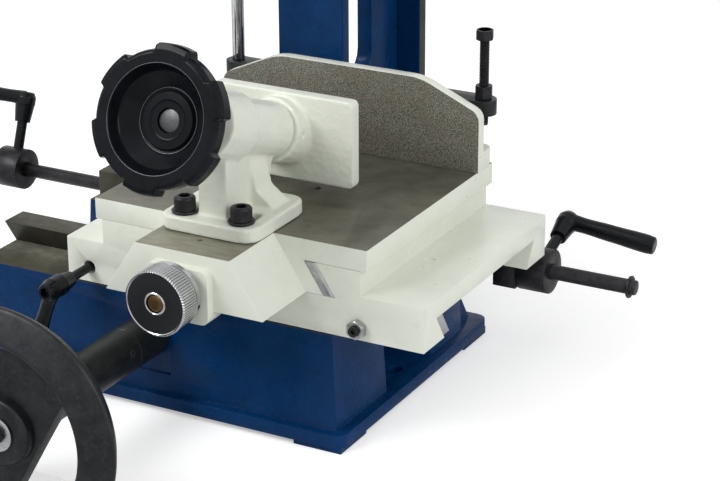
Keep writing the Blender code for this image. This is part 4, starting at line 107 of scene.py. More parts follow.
class MortiserStage(PropertyGroup):
    lens: FloatProperty(name="Lens", description="Focal length of the view, in millimetres", default=112.5,
                        min=10)
    camera_place: FloatVectorProperty(name="Camera place", description="Where the view is taken from",
                                      subtype="XYZ", size=3, default=(0.8778, -1.6212, 0.7558))
    camera_azimuth: FloatProperty(name="Camera azimuth", description="Turn of the view to the right",
                                  subtype="ANGLE", default=math.radians(28.3))
    camera_pitch: FloatProperty(name="Camera pitch", description="Slope of the view, downwards",
                                subtype="ANGLE", default=math.radians(21.8))
    camera_roll: FloatProperty(name="Camera roll", description="Tilt of the view",
                               subtype="ANGLE", default=math.radians(-0.2))
    bench_gap: FloatProperty(name="Bench gap", description="Space between bench edge and large handwheel",
                             default=0.030, min=0, unit="LENGTH")
    key_light: FloatProperty(name="Key light", description="Power of the large lamp in front", default=21.5,
                             min=0)
    world_light: FloatProperty(name="Room light", description="Brightness of the white room", default=0.56,
                               min=0)


def colours():
    return bpy.context.scene.mortiser_colours


def sizes():
    return bpy.context.scene.mortiser_sizes


def stage_settings():
    return bpy.context.scene.mortiser_stage


# Surfaces on a grid

DOUBLED_POINTS = 1e-6
SHARP_FOLD = math.radians(35.0)
UP = (0.0, 0.0, 1.0)
RIGHT = (1.0, 0.0, 0.0)
TO_OPERATOR = (0.0, -1.0, 0.0)


def grid_object(name, grid, wrap_rows=True):
    """Mesh object of a grid of points [row, column, xyz]. Columns always wrap; rows wrap for a ring,
    and otherwise the first and the last row are closed by a face each."""
    rows, columns = grid.shape[:2]
    corner = np.arange(rows * columns).reshape(rows, columns)
    beside = np.roll(corner, -1, axis=1)
    first = corner if wrap_rows else corner[:-1]
    first_beside = beside if wrap_rows else beside[:-1]
    second = np.roll(corner, -1, axis=0)[:len(first)]
    second_beside = np.roll(beside, -1, axis=0)[:len(first)]
    faces = np.stack([first, first_beside, second_beside, second], axis=-1).reshape(-1, 4).tolist()
    if not wrap_rows:
        faces += [corner[0].tolist(), corner[-1].tolist()]
    mesh = bpy.data.meshes.new(name)
    mesh.from_pydata(grid.reshape(-1, 3), [], faces)
    made = bpy.data.objects.new(name, mesh)
    bpy.context.collection.objects.link(made)
    return made


def finish_shape(thing):
    """Merge doubled points, turn the faces outwards and shade round stretches smooth."""
    shape = bmesh.new()
    shape.from_mesh(thing.data)
    bmesh.ops.remove_doubles(shape, verts=shape.verts, dist=DOUBLED_POINTS)
    bmesh.ops.recalc_face_normals(shape, faces=shape.faces)
    shape.to_mesh(thing.data)
    shape.free()
    thing.data.shade_smooth()
    thing.data.set_sharp_from_angle(angle=SHARP_FOLD)
    return thing


def joined(name, things):
    """One object of several closed shells."""
    shape = bmesh.new()
    for thing in things:
        shape.from_mesh(thing.data)
        bpy.data.objects.remove(thing, do_unlink=True)
    mesh = bpy.data.meshes.new(name)
    shape.to_mesh(mesh)
    shape.free()
    made = bpy.data.objects.new(name, mesh)
    bpy.context.collection.objects.link(made)
    return finish_shape(made)


def basis(along, first=RIGHT):
    """Right-handed unit axes as rows: one near first, one square to it, and the axis itself. Where first
    lies along the axis, the next coordinate direction stands in for it."""
    axis = np.array(along, float) / np.linalg.norm(along)
    start = np.array(first, float)
    if abs(start @ axis) > 0.99 * np.linalg.norm(start):
        start = np.roll(start, 1)
    start = start - axis * (start @ axis)
    start /= np.linalg.norm(start)
    return np.array([start, np.cross(axis, start), axis])


def softened(profile, radius, steps=4):
    """Closed profile with every corner P replaced by the curve (1-t)^2 A + 2t(1-t) P + t^2 B, where A and B
    lie on the two sides, one radius or half a side away from P."""
    points = np.array(profile, float)
    radii = np.broadcast_to(np.array(radius, float), len(points))[:, None]
    before = np.roll(points, 1, axis=0) - points
    after = np.roll(points, -1, axis=0) - points
    reach_before = np.minimum(radii, np.linalg.norm(before, axis=1, keepdims=True) / 2)
    reach_after = np.minimum(radii, np.linalg.norm(after, axis=1, keepdims=True) / 2)
    start = points + before / np.linalg.norm(before, axis=1, keepdims=True) * reach_before
    stop = points + after / np.linalg.norm(after, axis=1, keepdims=True) * reach_after
    share = np.linspace(0, 1, steps + 1)[None, :, None]
    curve = (1 - share) ** 2 * start[:, None] + 2 * share * (1 - share) * points[:, None] \
        + share ** 2 * stop[:, None]
    return curve.reshape(-1, 2)


def turned(name, profile, origin, along, columns=96, radius_at=None, first=RIGHT):
    """Surface of revolution of a closed (distance along, radius) profile; radius_at(places, radii, angles)
    may change each point's radius with its angle."""
    profile = np.array(profile, float)
    angles = np.linspace(0, math.tau, columns, endpoint=False)
    places = np.repeat(profile[:, :1], columns, axis=1)
    radii = np.repeat(profile[:, 1:], columns, axis=1)
    if radius_at is not None:
        radii = radius_at(places, radii, angles[None, :])
    axes = basis(along, first)
    grid = np.array(origin, float) + places[..., None] * axes[2] \
        + (radii * np.cos(angles))[..., None] * axes[0] + (radii * np.sin(angles))[..., None] * axes[1]
    return finish_shape(grid_object(name, grid))


def swept(name, path, radii, flatten, columns, side):
    """Tube of changing radius along a path of points; its section is an ellipse, whose radius towards side is
    flatten times the other one. Its ends are closed."""
    path = np.array(path, float)
    side = np.array(side, float)
    direction = np.gradient(path, axis=0)
    direction /= np.linalg.norm(direction, axis=1, keepdims=True)
    flat = side - direction * (direction @ side)[:, None]
    flat /= np.linalg.norm(flat, axis=1, keepdims=True)
    wide = np.cross(direction, flat)
    angles = np.linspace(0, math.tau, columns, endpoint=False)
    radii = np.array(radii, float)[:, None, None]
    grid = path[:, None] + radii * (np.cos(angles)[None, :, None] * wide[:, None]
                                    + flatten * np.sin(angles)[None, :, None] * flat[:, None])
    return finish_shape(grid_object(name, grid, wrap_rows=False))


def node_points(node):
    """Corners of a node's solid as an array."""
    mesh = frame["nodes"][node].data
    points = np.zeros(len(mesh.vertices) * 3, np.float32)
    mesh.vertices.foreach_get("co", points)
    return points.reshape(-1, 3).astype(float)


def middle_of(node):
    """Middle of a node's box."""
    points = node_points(node)
    return (points.max(axis=0) + points.min(axis=0)) / 2


def span(node, origin, along):
    """(lowest place, highest place, largest radius) of a node measured along and round an axis."""
    axis = np.array(along, float) / np.linalg.norm(along)
    offsets = node_points(node) - np.array(origin, float)
    places = offsets @ axis
    radii = np.linalg.norm(offsets - places[:, None] * axis, axis=1)
    return places.min(), places.max(), radii.max()


def dressed(thing, material, body, slot, *nodes):
    """Give a new piece its finish and its body, and let it stand for the named solids; the slot argument is not
    used.
    """
    thing.data.materials.clear()
    thing.data.materials.append(material)
    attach(thing, body)
    if nodes:
        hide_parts(*nodes)
    return thing


# Finishes: node trees worked out in object coordinates

FINE_MARKS = 0.00005
COAT_ROUGHNESS = 0.12
ENAMEL_IOR = 1.45


class Finish:
    """A material whose colour, roughness and relief come from noise in the machine's own coordinates."""

    def __init__(self, name, roughness=0.5, metallic=0.0, coat=0.0, specular=0.5):
        self.material = bpy.data.materials.new(name)
        self.material.use_nodes = True
        self.tree = self.material.node_tree
        self.tree.nodes.clear()
        self.output = self.tree.nodes.new("ShaderNodeOutputMaterial")
        self.surface = self.tree.nodes.new("ShaderNodeBsdfPrincipled")
        self.link(self.surface.outputs["BSDF"], self.output.inputs["Surface"])
        self.surface.inputs["Roughness"].default_value = roughness
        self.surface.inputs["Metallic"].default_value = metallic
        self.surface.inputs["Coat Weight"].default_value = coat
        self.surface.inputs["Coat Roughness"].default_value = COAT_ROUGHNESS
        self.surface.inputs["Specular IOR Level"].default_value = specular
        self.surface.inputs["IOR"].default_value = ENAMEL_IOR
        self.place = self.tree.nodes.new("ShaderNodeTexCoord").outputs["Object"]
        self.relief = None

    def link(self, source, target):
        self.tree.links.new(source, target)

    def stretched(self, x, y, z):
        """Coordinates scaled by axis, for streaks."""
        mapping = self.tree.nodes.new("ShaderNodeMapping")
        self.link(self.place, mapping.inputs["Vector"])
        mapping.inputs["Scale"].default_value = (x, y, z)
        return mapping.outputs["Vector"]

    def noise(self, scale, detail=3.0, roughness=0.5, vector=None):
        """Soft clouds, scale of them to the metre."""
        node = self.tree.nodes.new("ShaderNodeTexNoise")
        self.link(vector or self.place, node.inputs["Vector"])
        node.inputs["Scale"].default_value = scale
        node.inputs["Detail"].default_value = detail
        node.inputs["Roughness"].default_value = roughness
        return node.outputs["Fac"]

    def cells(self, scale):
        """Rounded pits, scale of them to the metre."""
        node = self.tree.nodes.new("ShaderNodeTexVoronoi")
        node.feature = "SMOOTH_F1"
        self.link(self.place, node.inputs["Vector"])
        node.inputs["Scale"].default_value = scale
        return node.outputs["Distance"]

    def spread(self, value, low, high, out_low=0.0, out_high=1.0):
        """Map a value between two bounds onto two others, clamped."""
        node = self.tree.nodes.new("ShaderNodeMapRange")
        self.link(value, node.inputs["Value"])
        bounds = {"From Min": low, "From Max": high, "To Min": out_low, "To Max": out_high}
        for socket, number in bounds.items():
            node.inputs[socket].default_value = number
        return node.outputs["Result"]

    def sums(self, operation, first, second):
        """Arithmetic of two values, each a number or another node's output."""
        node = self.tree.nodes.new("ShaderNodeMath")
        node.operation = operation
        for socket, value in zip(node.inputs, (first, second)):
            if isinstance(value, (int, float)):
                socket.default_value = value
            else:
                self.link(value, socket)
        return node.outputs["Value"]

    def mixed(self, share, first, second):
        """Colour between two colours."""
        node = self.tree.nodes.new("ShaderNodeMix")
        node.data_type = "RGBA"
        share_socket, first_socket, second_socket, colour_output = 0, 6, 7, 2
        self.link(share, node.inputs[share_socket])
        for socket, value in ((node.inputs[first_socket], first), (node.inputs[second_socket], second)):
            if isinstance(value, bpy.types.NodeSocket):
                self.link(value, socket)
            else:
                socket.default_value = (*value, 1.0)
        return node.outputs[colour_output]

    def part(self, index):
        """One coordinate of the place."""
        node = self.tree.nodes.new("ShaderNodeSeparateXYZ")
        self.link(self.place, node.inputs["Vector"])
        return node.outputs[index]

    def facing(self, direction, low=0.6, high=0.9):
        """One on faces that look along a direction of the machine, nought elsewhere."""
        normal = self.tree.nodes.new("ShaderNodeNewGeometry").outputs["True Normal"]
        turn = self.tree.nodes.new("ShaderNodeVectorTransform")
        turn.vector_type, turn.convert_from, turn.convert_to = "NORMAL", "WORLD", "OBJECT"
        self.link(normal, turn.inputs["Vector"])
        dot = self.tree.nodes.new("ShaderNodeVectorMath")
        dot.operation = "DOT_PRODUCT"
        self.link(turn.outputs["Vector"], dot.inputs[0])
        dot.inputs[1].default_value = direction
        return self.spread(dot.outputs["Value"], low, high)

    def away(self, indexes, centre):
        """Distance from a point, measured along two of the coordinates."""
        squares = []
        for index, middle in zip(indexes, centre):
            offset = self.sums("SUBTRACT", self.part(index), float(middle))
            squares.append(self.sums("MULTIPLY", offset, offset))
        return self.sums("SQRT", self.sums("ADD", *squares), 0.0)

    def between(self, index, low, high, blur=0.0004):
        """One where a coordinate lies between two places."""
        value = self.part(index)
        return self.sums("MULTIPLY", self.spread(value, low - blur, low + blur),
                         self.spread(value, high - blur, high + blur, 1.0, 0.0))

    def raised(self, height, depth, strength=1.0):
        """Add relief on top of what is there: a height map and the depth it stands for."""
        node = self.tree.nodes.new("ShaderNodeBump")
        node.inputs["Strength"].default_value = strength
        node.inputs["Distance"].default_value = depth
        self.link(height, node.inputs["Height"])
        if self.relief is not None:
            self.link(self.relief, node.inputs["Normal"])
        self.relief = node.outputs["Normal"]
        self.link(self.relief, self.surface.inputs["Normal"])
        return self

    def coloured(self, source):
        self.link(source, self.surface.inputs["Base Color"])
        return self

    def roughened(self, source):
        self.link(source, self.surface.inputs["Roughness"])
        return self

    def metalled(self, source):
        self.link(source, self.surface.inputs["Metallic"])
        return self


def darker(colour, share):
    """A colour times a share, which above one is a lighter colour."""
    return tuple(channel * share for channel in colour)


def hammered_blue(name, bare=None):
    """Deep blue enamel with an orange-peel skin and fine light specks that are painted glints; bare(finish)
    returns where the iron below is machined."""
    finish = Finish(name, coat=0.02, specular=0.12)
    colour, ground = tuple(colours().blue), tuple(colours().ground)
    # light blue specks scattered by fine noise: painted glints of the hammered skin
    glint_speck = (0.020, 0.085, 0.210)
    mottle = finish.noise(38.0, 4.0, 0.6)
    patches = finish.noise(7.0, 2.0)
    paint = finish.mixed(finish.spread(mottle, 0.35, 0.68), darker(colour, 0.82), darker(colour, 1.15))
    paint = finish.mixed(finish.spread(patches, 0.4, 0.75, 0.0, 0.25), paint, darker(colour, 1.5))
    glint_specks = finish.spread(finish.noise(850.0, 2.0), 0.62, 0.74, 0.0, 0.22)
    paint = finish.mixed(glint_specks, paint, glint_speck)
    gloss = finish.spread(finish.noise(120.0), 0.3, 0.7, 0.20, 0.36)
    peel = finish.sums("ADD", finish.cells(420.0), finish.noise(260.0, 2.0))
    peel_depth, cast_waves = 0.00022, 0.0010
    finish.raised(peel, peel_depth, 0.5)
    finish.raised(finish.noise(28.0, 2.0), cast_waves, 0.35)
    if bare is None:
        return finish.coloured(paint).roughened(gloss).material
    where = bare(finish)
    grain = finish.noise(900.0, 3.0)
    clouds = finish.noise(26.0, 4.0, 0.65)
    iron = finish.mixed(finish.spread(clouds, 0.35, 0.7), darker(ground, 0.17), darker(ground, 0.36))
    iron = finish.mixed(finish.spread(grain, 0.35, 0.65, 0.0, 0.5), iron, darker(ground, 0.26))
    finish.coloured(finish.mixed(where, paint, iron))
    finish.roughened(finish.sums("ADD", finish.sums("MULTIPLY", where, 0.22), gloss))
    finish.metalled(finish.sums("MULTIPLY", where, 0.35))
    return finish.material


def cream_enamel(name, bare=None, rough=False, speckle=False):
    """Cream enamel over iron, smooth or as rough as a sand casting. bare(finish) returns where the iron is
    machined: with tool marks and a painted reflection as a lighter strip near the operator, or with a fine
    speckle."""
    finish = Finish(name, coat=0.25, specular=0.45)
    colour, ground = tuple(colours().cream), tuple(colours().ground)
    tone = finish.noise(22.0, 4.0, 0.6)
    paint = finish.mixed(finish.spread(tone, 0.35, 0.7), darker(colour, 0.93), colour)
    dirt = finish.spread(finish.noise(75.0, 5.0, 0.7), 0.56, 0.72, 0.0, 0.16)
    paint = finish.mixed(dirt, paint, darker(colour, 0.62))
    skin_depth, sand_depth, pit_depth = 0.00025, 0.0016, 0.0005
    finish.raised(finish.noise(170.0, 3.0), skin_depth, 0.35)
    glossy, dull = 0.27, 0.42
    if rough:
        finish.raised(finish.noise(95.0, 4.0, 0.6), sand_depth, 0.55)
        finish.raised(finish.cells(240.0), pit_depth, 0.45)
        glossy, dull = 0.34, 0.50
    gloss = finish.spread(finish.noise(90.0), 0.3, 0.7, glossy, dull)
    if bare is None:
        return finish.coloured(paint).roughened(gloss).material
    where = bare(finish)
    if speckle:
        dark, light, rust = (0.078, 0.076, 0.061), (0.265, 0.260, 0.210), (0.14, 0.115, 0.080)
        spots = finish.spread(finish.noise(1050.0, 2.0, 0.6), 0.43, 0.60)
        iron = finish.mixed(spots, dark, light)
        iron = finish.mixed(finish.spread(finish.noise(55.0, 3.0), 0.4, 0.7, 0.0, 0.35), iron, rust)
    else:
        # painted reflection: the bare iron is painted lighter towards the operator, between these places along Y
        reflection_starts, reflection_full = -0.30, -0.37
        clouds = finish.spread(finish.noise(34.0, 5.0, 0.7), 0.34, 0.70)
        iron = finish.mixed(clouds, darker(ground, 0.34), darker(ground, 0.70))
        near = finish.spread(finish.part(1), reflection_starts, reflection_full, 0.0, 0.6)
        iron = finish.mixed(near, iron, darker(ground, 1.7))
        streaks = finish.noise(55.0, 3.0, 0.6, finish.stretched(1.0, 9.0, 1.0))
        iron = finish.mixed(finish.spread(streaks, 0.35, 0.65, 0.0, 0.45), iron, darker(ground, 0.36))
    finish.coloured(finish.mixed(where, paint, iron))
    finish.roughened(finish.sums("ADD", finish.sums("MULTIPLY", where, 0.12), gloss))
    finish.metalled(finish.sums("MULTIPLY", where, 0.25))
    return finish.material


def bright_steel(name, colour, low=0.22, high=0.36, streak=(1.0, 1.0, 1.0), stain=0.25):
    """Bare metal with fine tool marks along a direction and a few darker stains; low and high are the
    roughness between and on the marks."""
    finish = Finish(name, metallic=1.0)
    marks = finish.noise(220.0, 3.0, 0.6, finish.stretched(*streak))
    tone = finish.mixed(finish.spread(marks, 0.3, 0.7), darker(colour, 0.78), tuple(colour))
    stains = finish.spread(finish.noise(48.0, 4.0, 0.65), 0.52, 0.75, 0.0, stain)
    finish.coloured(finish.mixed(stains, tone, darker(colour, 0.35)))
    finish.roughened(finish.spread(marks, 0.3, 0.7, low, high))
    return finish.raised(marks, FINE_MARKS, 0.3).material


def dark_metal(name, colour, low=0.30, high=0.46, metallic=0.75, depth=0.00012, scale=320.0):
    """Oxide, phosphate or satin black on steel, with worn lighter patches."""
    finish = Finish(name, metallic=metallic, specular=0.3)
    patches = finish.noise(60.0, 4.0, 0.65)
    grain = finish.noise(scale, 3.0, 0.6)
    tone = finish.mixed(finish.spread(patches, 0.36, 0.68), darker(colour, 0.7), darker(colour, 1.3))
    finish.coloured(finish.mixed(finish.spread(grain, 0.55, 0.75, 0.0, 0.5), tone, darker(colour, 2.1)))
    finish.roughened(finish.spread(grain, 0.3, 0.7, low, high))
    return finish.raised(grain, depth, 0.4).material


def moulded(name, colour):
    """Moulded plastic: nearly even colour with a very fine skin and faint lighter scuffs."""
    finish = Finish(name, coat=0.10, specular=0.16)
    scuffed = tuple(min(1.0, channel * 1.8 + 0.004) for channel in colour)
    scuffs = finish.spread(finish.noise(140.0, 5.0, 0.7), 0.55, 0.75, 0.0, 0.35)
    cloud = finish.noise(30.0, 2.0)
    tone = finish.mixed(finish.spread(cloud, 0.35, 0.7), darker(colour, 0.85), darker(colour, 1.25))
    finish.coloured(finish.mixed(scuffs, tone, scuffed))
    finish.roughened(finish.spread(finish.noise(200.0), 0.3, 0.7, 0.18, 0.30))
    return finish.raised(finish.noise(480.0, 2.0), FINE_MARKS, 0.3).material


# Cast and machined solids that keep their own meshes

JOIN_REACH = 0.00001
FLAT_FOLD = math.radians(1.0)
ROUNDED_FOLD = math.radians(32.0)


def rounded_node(node, material, width, segments=2):
    """Join a solid's loose triangles, clear away needless edges, round the rest and shade it smooth. The flat
    faces are split into triangles before the rounding, so that it leaves no stray face."""
    thing = frame["nodes"][node]
    thing.data.materials.clear()
    thing.data.materials.append(material)
    thing.data.shade_smooth()
    weld = thing.modifiers.new("Join triangles", "WELD")
    weld.merge_threshold = JOIN_REACH
    clear = thing.modifiers.new("Clear flat faces", "DECIMATE")
    clear.decimate_type = "DISSOLVE"
    clear.angle_limit = FLAT_FOLD
    thing.modifiers.new("Split flat faces", "TRIANGULATE")
    if width:
        bevel = thing.modifiers.new("Rounded edges", "BEVEL")
        bevel.limit_method = "ANGLE"
        bevel.angle_limit = ROUNDED_FOLD
        bevel.width = width
        bevel.segments = segments
        bevel.use_clamp_overlap = True
        bevel.harden_normals = True
        bevel.miter_outer = "MITER_ARC"
    return thing


# Shapes that several pieces share

def resampled(profile, step):
    """Closed profile with extra points so that no stretch is longer than a step."""
    points = np.array(profile, float)
    result = []
    for start, stop in zip(points, np.roll(points, -1, axis=0)):
        parts = max(1, int(np.ceil(np.linalg.norm(stop - start) / step)))
        shares = np.arange(parts)[:, None] / parts
        result.append(start + (stop - start) * shares)
    return np.concatenate(result)


def to_flat(angles):
    """Cosine of the angle to the middle of the nearest side of a hexagon."""
    return np.cos((angles + math.pi / 6) % (math.pi / 3) - math.pi / 6)


def cap_screw(name, top, along, head_radius, head_height, stem_end=None, stem_radius=None,
              ridges=36):
    """Socket-head screw: a lathe profile with a hexagon for a socket, r = flat / cos(angle to nearest flat),
    and with fine straight ridges round the head, r = R - depth |sin(n angle / 2)|. Without stem_end the screw
    ends just under its head."""
    socket = head_radius * 0.50
    socket_depth = head_height * 0.55
    edge = head_radius * 0.12
    ridge_depth = head_radius * 0.03
    stem = stem_radius or head_radius * 0.55
    end = -head_height * 1.05 if stem_end is None else stem_end
    profile = [(0.0, socket * 1.13), (0.0, head_radius - 2.2 * edge), (-edge * 0.5, head_radius - edge * 0.8),
               (-edge * 1.6, head_radius), (-head_height, head_radius), (-head_height, stem),
               (end, stem), (end, 0.0), (-socket_depth - socket * 0.25, 0.0), (-socket_depth, socket),
               (-socket * 0.12, socket)]

    def radius_at(places, radii, angles):
        inside = np.isclose(radii, socket) & (places <= 0)
        ridge = ridge_depth * np.abs(np.sin(angles * ridges / 2))
        on_side = (radii >= head_radius * 0.999) & (places > -head_height + 1e-5)
        return np.where(inside, radii / to_flat(angles), np.where(on_side, radii - ridge, radii))
    return turned(name, resampled(profile, head_height / 8), top, along, ridges * 4, radius_at)


def hexagon_piece(name, origin, along, low, high, flats, bore, first=RIGHT):
    """Nut or bolt head: r = half flats / cos(angle to the nearest flat), cut by a cone at both faces."""
    half = flats / 2
    corner = half / math.cos(math.pi / 6)
    cone_height, cone_radius = (corner - half) * 0.6, half * 0.97
    rows = [(low, bore), (low, cone_radius), (low + cone_height, corner), (high - cone_height, corner),
            (high, cone_radius), (high, bore)]

    def radius_at(places, radii, angles):
        return np.minimum(radii, half / to_flat(angles))
    return turned(name, resampled(rows, (high - low) / 12), origin, along, 120, radius_at, first)


def threaded(name, origin, along, low, high, radius, pitch):
    """Screw thread: r = R - depth (1 + cos(2 pi place / pitch - angle)) / 2, run out near both ends."""
    depth, end_cut, run_out = pitch * 0.55, pitch * 0.25, pitch * 2
    step = pitch / 8
    places = np.minimum(np.arange(low, high + step, step), high)
    profile = np.concatenate([[(low, 0.0)], np.stack([places, np.full_like(places, radius)], axis=1),
                              [(high, 0.0)]])

    def radius_at(place, radii, angles):
        wave = depth * (1 + np.cos(math.tau * place / pitch - angles)) / 2
        fade = np.clip(np.minimum(place - low, high - place) / run_out, 0, 1)
        return np.where(radii > 0, radii - wave * fade - end_cut * (1 - fade), 0.0)
    return turned(name, profile, origin, along, 36, radius_at)


def blended(values, places, where):
    """Smooth curve through values at places, read off at where, by cosine steps between them."""
    places = np.array(places, float)
    values = np.array(values, float)
    index = np.clip(np.searchsorted(places, where, side="right") - 1, 0, len(places) - 2)
    share = np.clip((where - places[index]) / (places[index + 1] - places[index]), 0, 1)
    share = (1 - np.cos(math.pi * share)) / 2
    return values[index] * (1 - share) + values[index + 1] * share


def axis_point(joint_name):
    """Point in the plane y = 0 on the axis of a hinge that runs along Y."""
    joint = JOINTS[joint_name]
    return np.array([joint["pos_m"][0], 0.0, joint["pos_m"][2]])


def handwheel(name="large_handwheel"):
    """Large wheel: a turned rim and hub about the X shaft, and a web plate between them whose outer radius is
    a smooth min(R, offset / |cos(a - a0)|), which leaves the two bow-shaped windows."""
    origin = axis_point("x_wheel_turn")
    low, high, radius = span("x_handwheel", origin, TO_OPERATOR)
    rim_inset, rim_width, rim_edge = 0.0075, 0.028, 0.0024
    inner, outer = radius - rim_inset - rim_width, radius - rim_inset
    hub_front, web_front, web_back = high - 0.0024, high - 0.0105, high - 0.0255
    rim_back = low + 0.0055
    rim = softened([(high + 0.0020, inner + 0.0075), (high - 0.0085, outer - 0.0003), (high - 0.0115, outer),
                    (rim_back, outer - 0.0083), (rim_back, inner + 0.0050), (low + 0.0120, inner),
                    (high - 0.0070, inner), (high + 0.0015, inner + 0.0045)], rim_edge, 5)
    rim_shell = turned(name, rim, origin, TO_OPERATOR, 180)
    hub = softened([(hub_front, 0.0), (hub_front, 0.0235), (hub_front - 0.0016, 0.0250),
                    (web_back - 0.004, 0.0275), (low, 0.0240), (low, 0.0)],
                   (0.0, 0.0012, 0.0012, 0.002, 0.0012, 0.0), 3)
    hub_shell = turned(name, hub, origin, TO_OPERATOR)
    web_turn, web_half_width, corner = math.radians(-30.0), 0.0290, 0.0018
    # the web's outer points run into the rim, and the next ones in follow the bar's edge as a rounding
    reach = inner + 0.0015
    edge = reach - 0.0002
    rim_limit = inner + 0.004

    def radius_at(places, radii, angles):
        limit = web_half_width / np.maximum(np.abs(np.cos(angles - web_turn)), 0.05)
        bar = -np.log(np.exp(-limit / corner) + np.exp(-rim_limit / corner)) * corner
        return np.where(radii > 0.001, np.minimum(radii, bar - (edge - radii) * (radii < edge)), radii)
    rounding = ((0.0, 0.0027), (0.0008, 0.0007), (0.003, 0.0))
    web = [(web_front, 0.0)]
    web += [(web_front - inset, reach - cut) for inset, cut in rounding]
    web += [(web_back + inset, reach - cut) for inset, cut in reversed(rounding)]
    web.append((web_back, 0.0))
    web_shell = turned(name, web, origin, TO_OPERATOR, 240, radius_at)
    return joined(name, [rim_shell, hub_shell, web_shell])


def shaft_tube(name, node, stretches):
    """Turned tube round the X shaft with a node's bore, one (low, high, radius) after another, each with
    chamfered ends."""
    origin = axis_point("x_wheel_turn")
    bore = np.linalg.norm((node_points(node) - origin)[:, (0, 2)], axis=1).min()
    chamfer = 0.0003
    rows = [(stretches[0][0], bore)]
    for low, high, radius in stretches:
        rows += [(low, radius - chamfer), (low + chamfer, radius),
                 (high - chamfer, radius), (high, radius - chamfer)]
    rows.append((stretches[-1][1], bore))
    return turned(name, rows, origin, TO_OPERATOR)


def vise_screw_line():
    """Point and direction, towards the operator, of the vise screw's axis."""
    joint = JOINTS["vise_screw_turn"]
    along = np.array(joint["axis"], float)
    if along[1] > 0:
        along = -along
    return np.array(joint["pos_m"], float), along


def vise_wheel(name="vise_wheel"):
    """Moulded vise wheel about the screw: a turned dish whose outer radius is
    R - cut (1 - lobe(a)), lobe(a) = smooth raised part of |cos(n (a - a0) / 2)|, for n lobes."""
    origin, along = vise_screw_line()
    low, front, radius = span("vise_handwheel", origin, along)
    depth = front - low
    lobes = sizes().vise_lobes
    hub = [(low, 0.0087), (low, 0.0206), (low + 0.0012, 0.0216), (low + 0.40 * depth, 0.0232)]
    back_and_edge = [(low + 0.52 * depth, 0.0300), (low + 0.56 * depth, radius - 0.0120),
                     (low + 0.60 * depth, radius - 0.0035), (low + 0.68 * depth, radius),
                     (front - 0.0040, radius), (front - 0.0011, radius - 0.0014), (front, radius - 0.0045)]
    dish = [(front, 0.0392), (front - 0.0008, 0.0381), (front - 0.0085, 0.0352), (front - 0.0100, 0.0342),
            (front - 0.0178, 0.0232), (front - 0.0190, 0.0226), (front - 0.0192, 0.0214)]
    centre = [(front - 0.0180, 0.0206), (front - 0.0172, 0.0198), (front - 0.0168, 0.0146),
              (front - 0.0178, 0.0134), (front - 0.0182, 0.0087)]
    profile = resampled(hub + back_and_edge + dish + centre, 0.0011)
    cut_starts, cut, first_lobe = 0.0398, 0.0040, math.radians(24.0)
    lobe_foot, lobe_slope = 0.64, 0.09
    back_starts, back_slope = low + 0.50 * depth, 0.003

    def radius_at(places, radii, angles):
        wave = np.abs(np.cos(lobes * (angles - first_lobe) / 2))
        lobe = np.clip((wave - lobe_foot) / lobe_slope, 0.0, 1.0)
        lobe = lobe * lobe * (3 - 2 * lobe)
        outer = np.clip((radii - cut_starts) / (radius - cut_starts), 0.0, 1.0)
        back = np.clip((places - back_starts) / back_slope, 0.0, 1.0)
        return radii - cut * (1 - lobe) * outer ** 0.8 * back
    return turned(name, profile, origin, along, lobes * 60, radius_at)


def highlight_rings(name="vise_wheel_highlight_rings"):
    """Painted highlights on the vise wheel's face and dish: fine light circles, as thin turned rings."""
    origin, along = vise_screw_line()
    front = span("vise_handwheel", origin, along)[1]
    half_height, half_width = 0.00030, 0.00038
    rings = []
    for inset, ring_radius in ((0.0006, 0.0386), (0.0184, 0.0229)):
        circle = [(front - inset + half_height * math.sin(a), ring_radius + half_width * math.cos(a))
                  for a in np.linspace(0, math.tau, 10, endpoint=False)]
        rings.append(turned(name, circle, origin, along, 160))
    return joined(name, rings)


def knurled_knob(name="table_knob"):
    """Table knob: a turned profile whose knurled band has n straight ridges,
    r = R - depth (1 - |cos(n a / 2)|^0.7), faded in at both ends of the band."""
    origin = axis_point("y_knob_turn")
    low, high, solid_radius = span("y_knob", origin, TO_OPERATOR)
    radius = solid_radius * 1.10
    band_low, band_high = low + 0.40 * (high - low), high - 0.0012
    ridges, depth = sizes().knurl_ridges, 0.00085
    neck = [(low, 0.0062), (low, 0.0120), (low + 0.0008, 0.0128), (low + 0.0052, 0.0130)]
    shoulder = [(low + 0.0056, 0.0205), (low + 0.0064, radius - 0.0006), (band_low - 0.0020, radius - 0.0006),
                (band_low - 0.0013, radius - 0.0020), (band_low - 0.0006, radius - 0.0020)]
    band = [(band_low, radius - 0.0004), (band_low + 0.0006, radius), (band_high, radius),
            (high, radius - 0.0011), (high, radius - 0.0017)]
    face = [(high - 0.0006, radius - 0.0023), (high - 0.0010, 0.0086)]
    centre_ring = [(high - 0.0004, 0.0081), (high - 0.0002, 0.0076), (high - 0.0006, 0.0070),
                   (high - 0.0030, 0.0068)]
    rows = neck + shoulder + band + face + centre_ring

    def radius_at(places, radii, angles):
        starts = np.clip((places - band_low) / 0.0006, 0, 1)
        ends = np.clip((high - 0.0003 - places) / 0.0008, 0, 1)
        fade = starts * ends
        outside = radii > radius - 0.0008
        groove = depth * (1 - np.abs(np.cos(ridges * angles / 2)) ** 0.7)
        return np.where(outside, radii - groove * fade, radii)
    return turned(name, resampled(rows, 0.0012), origin, TO_OPERATOR, ridges * 10, radius_at)


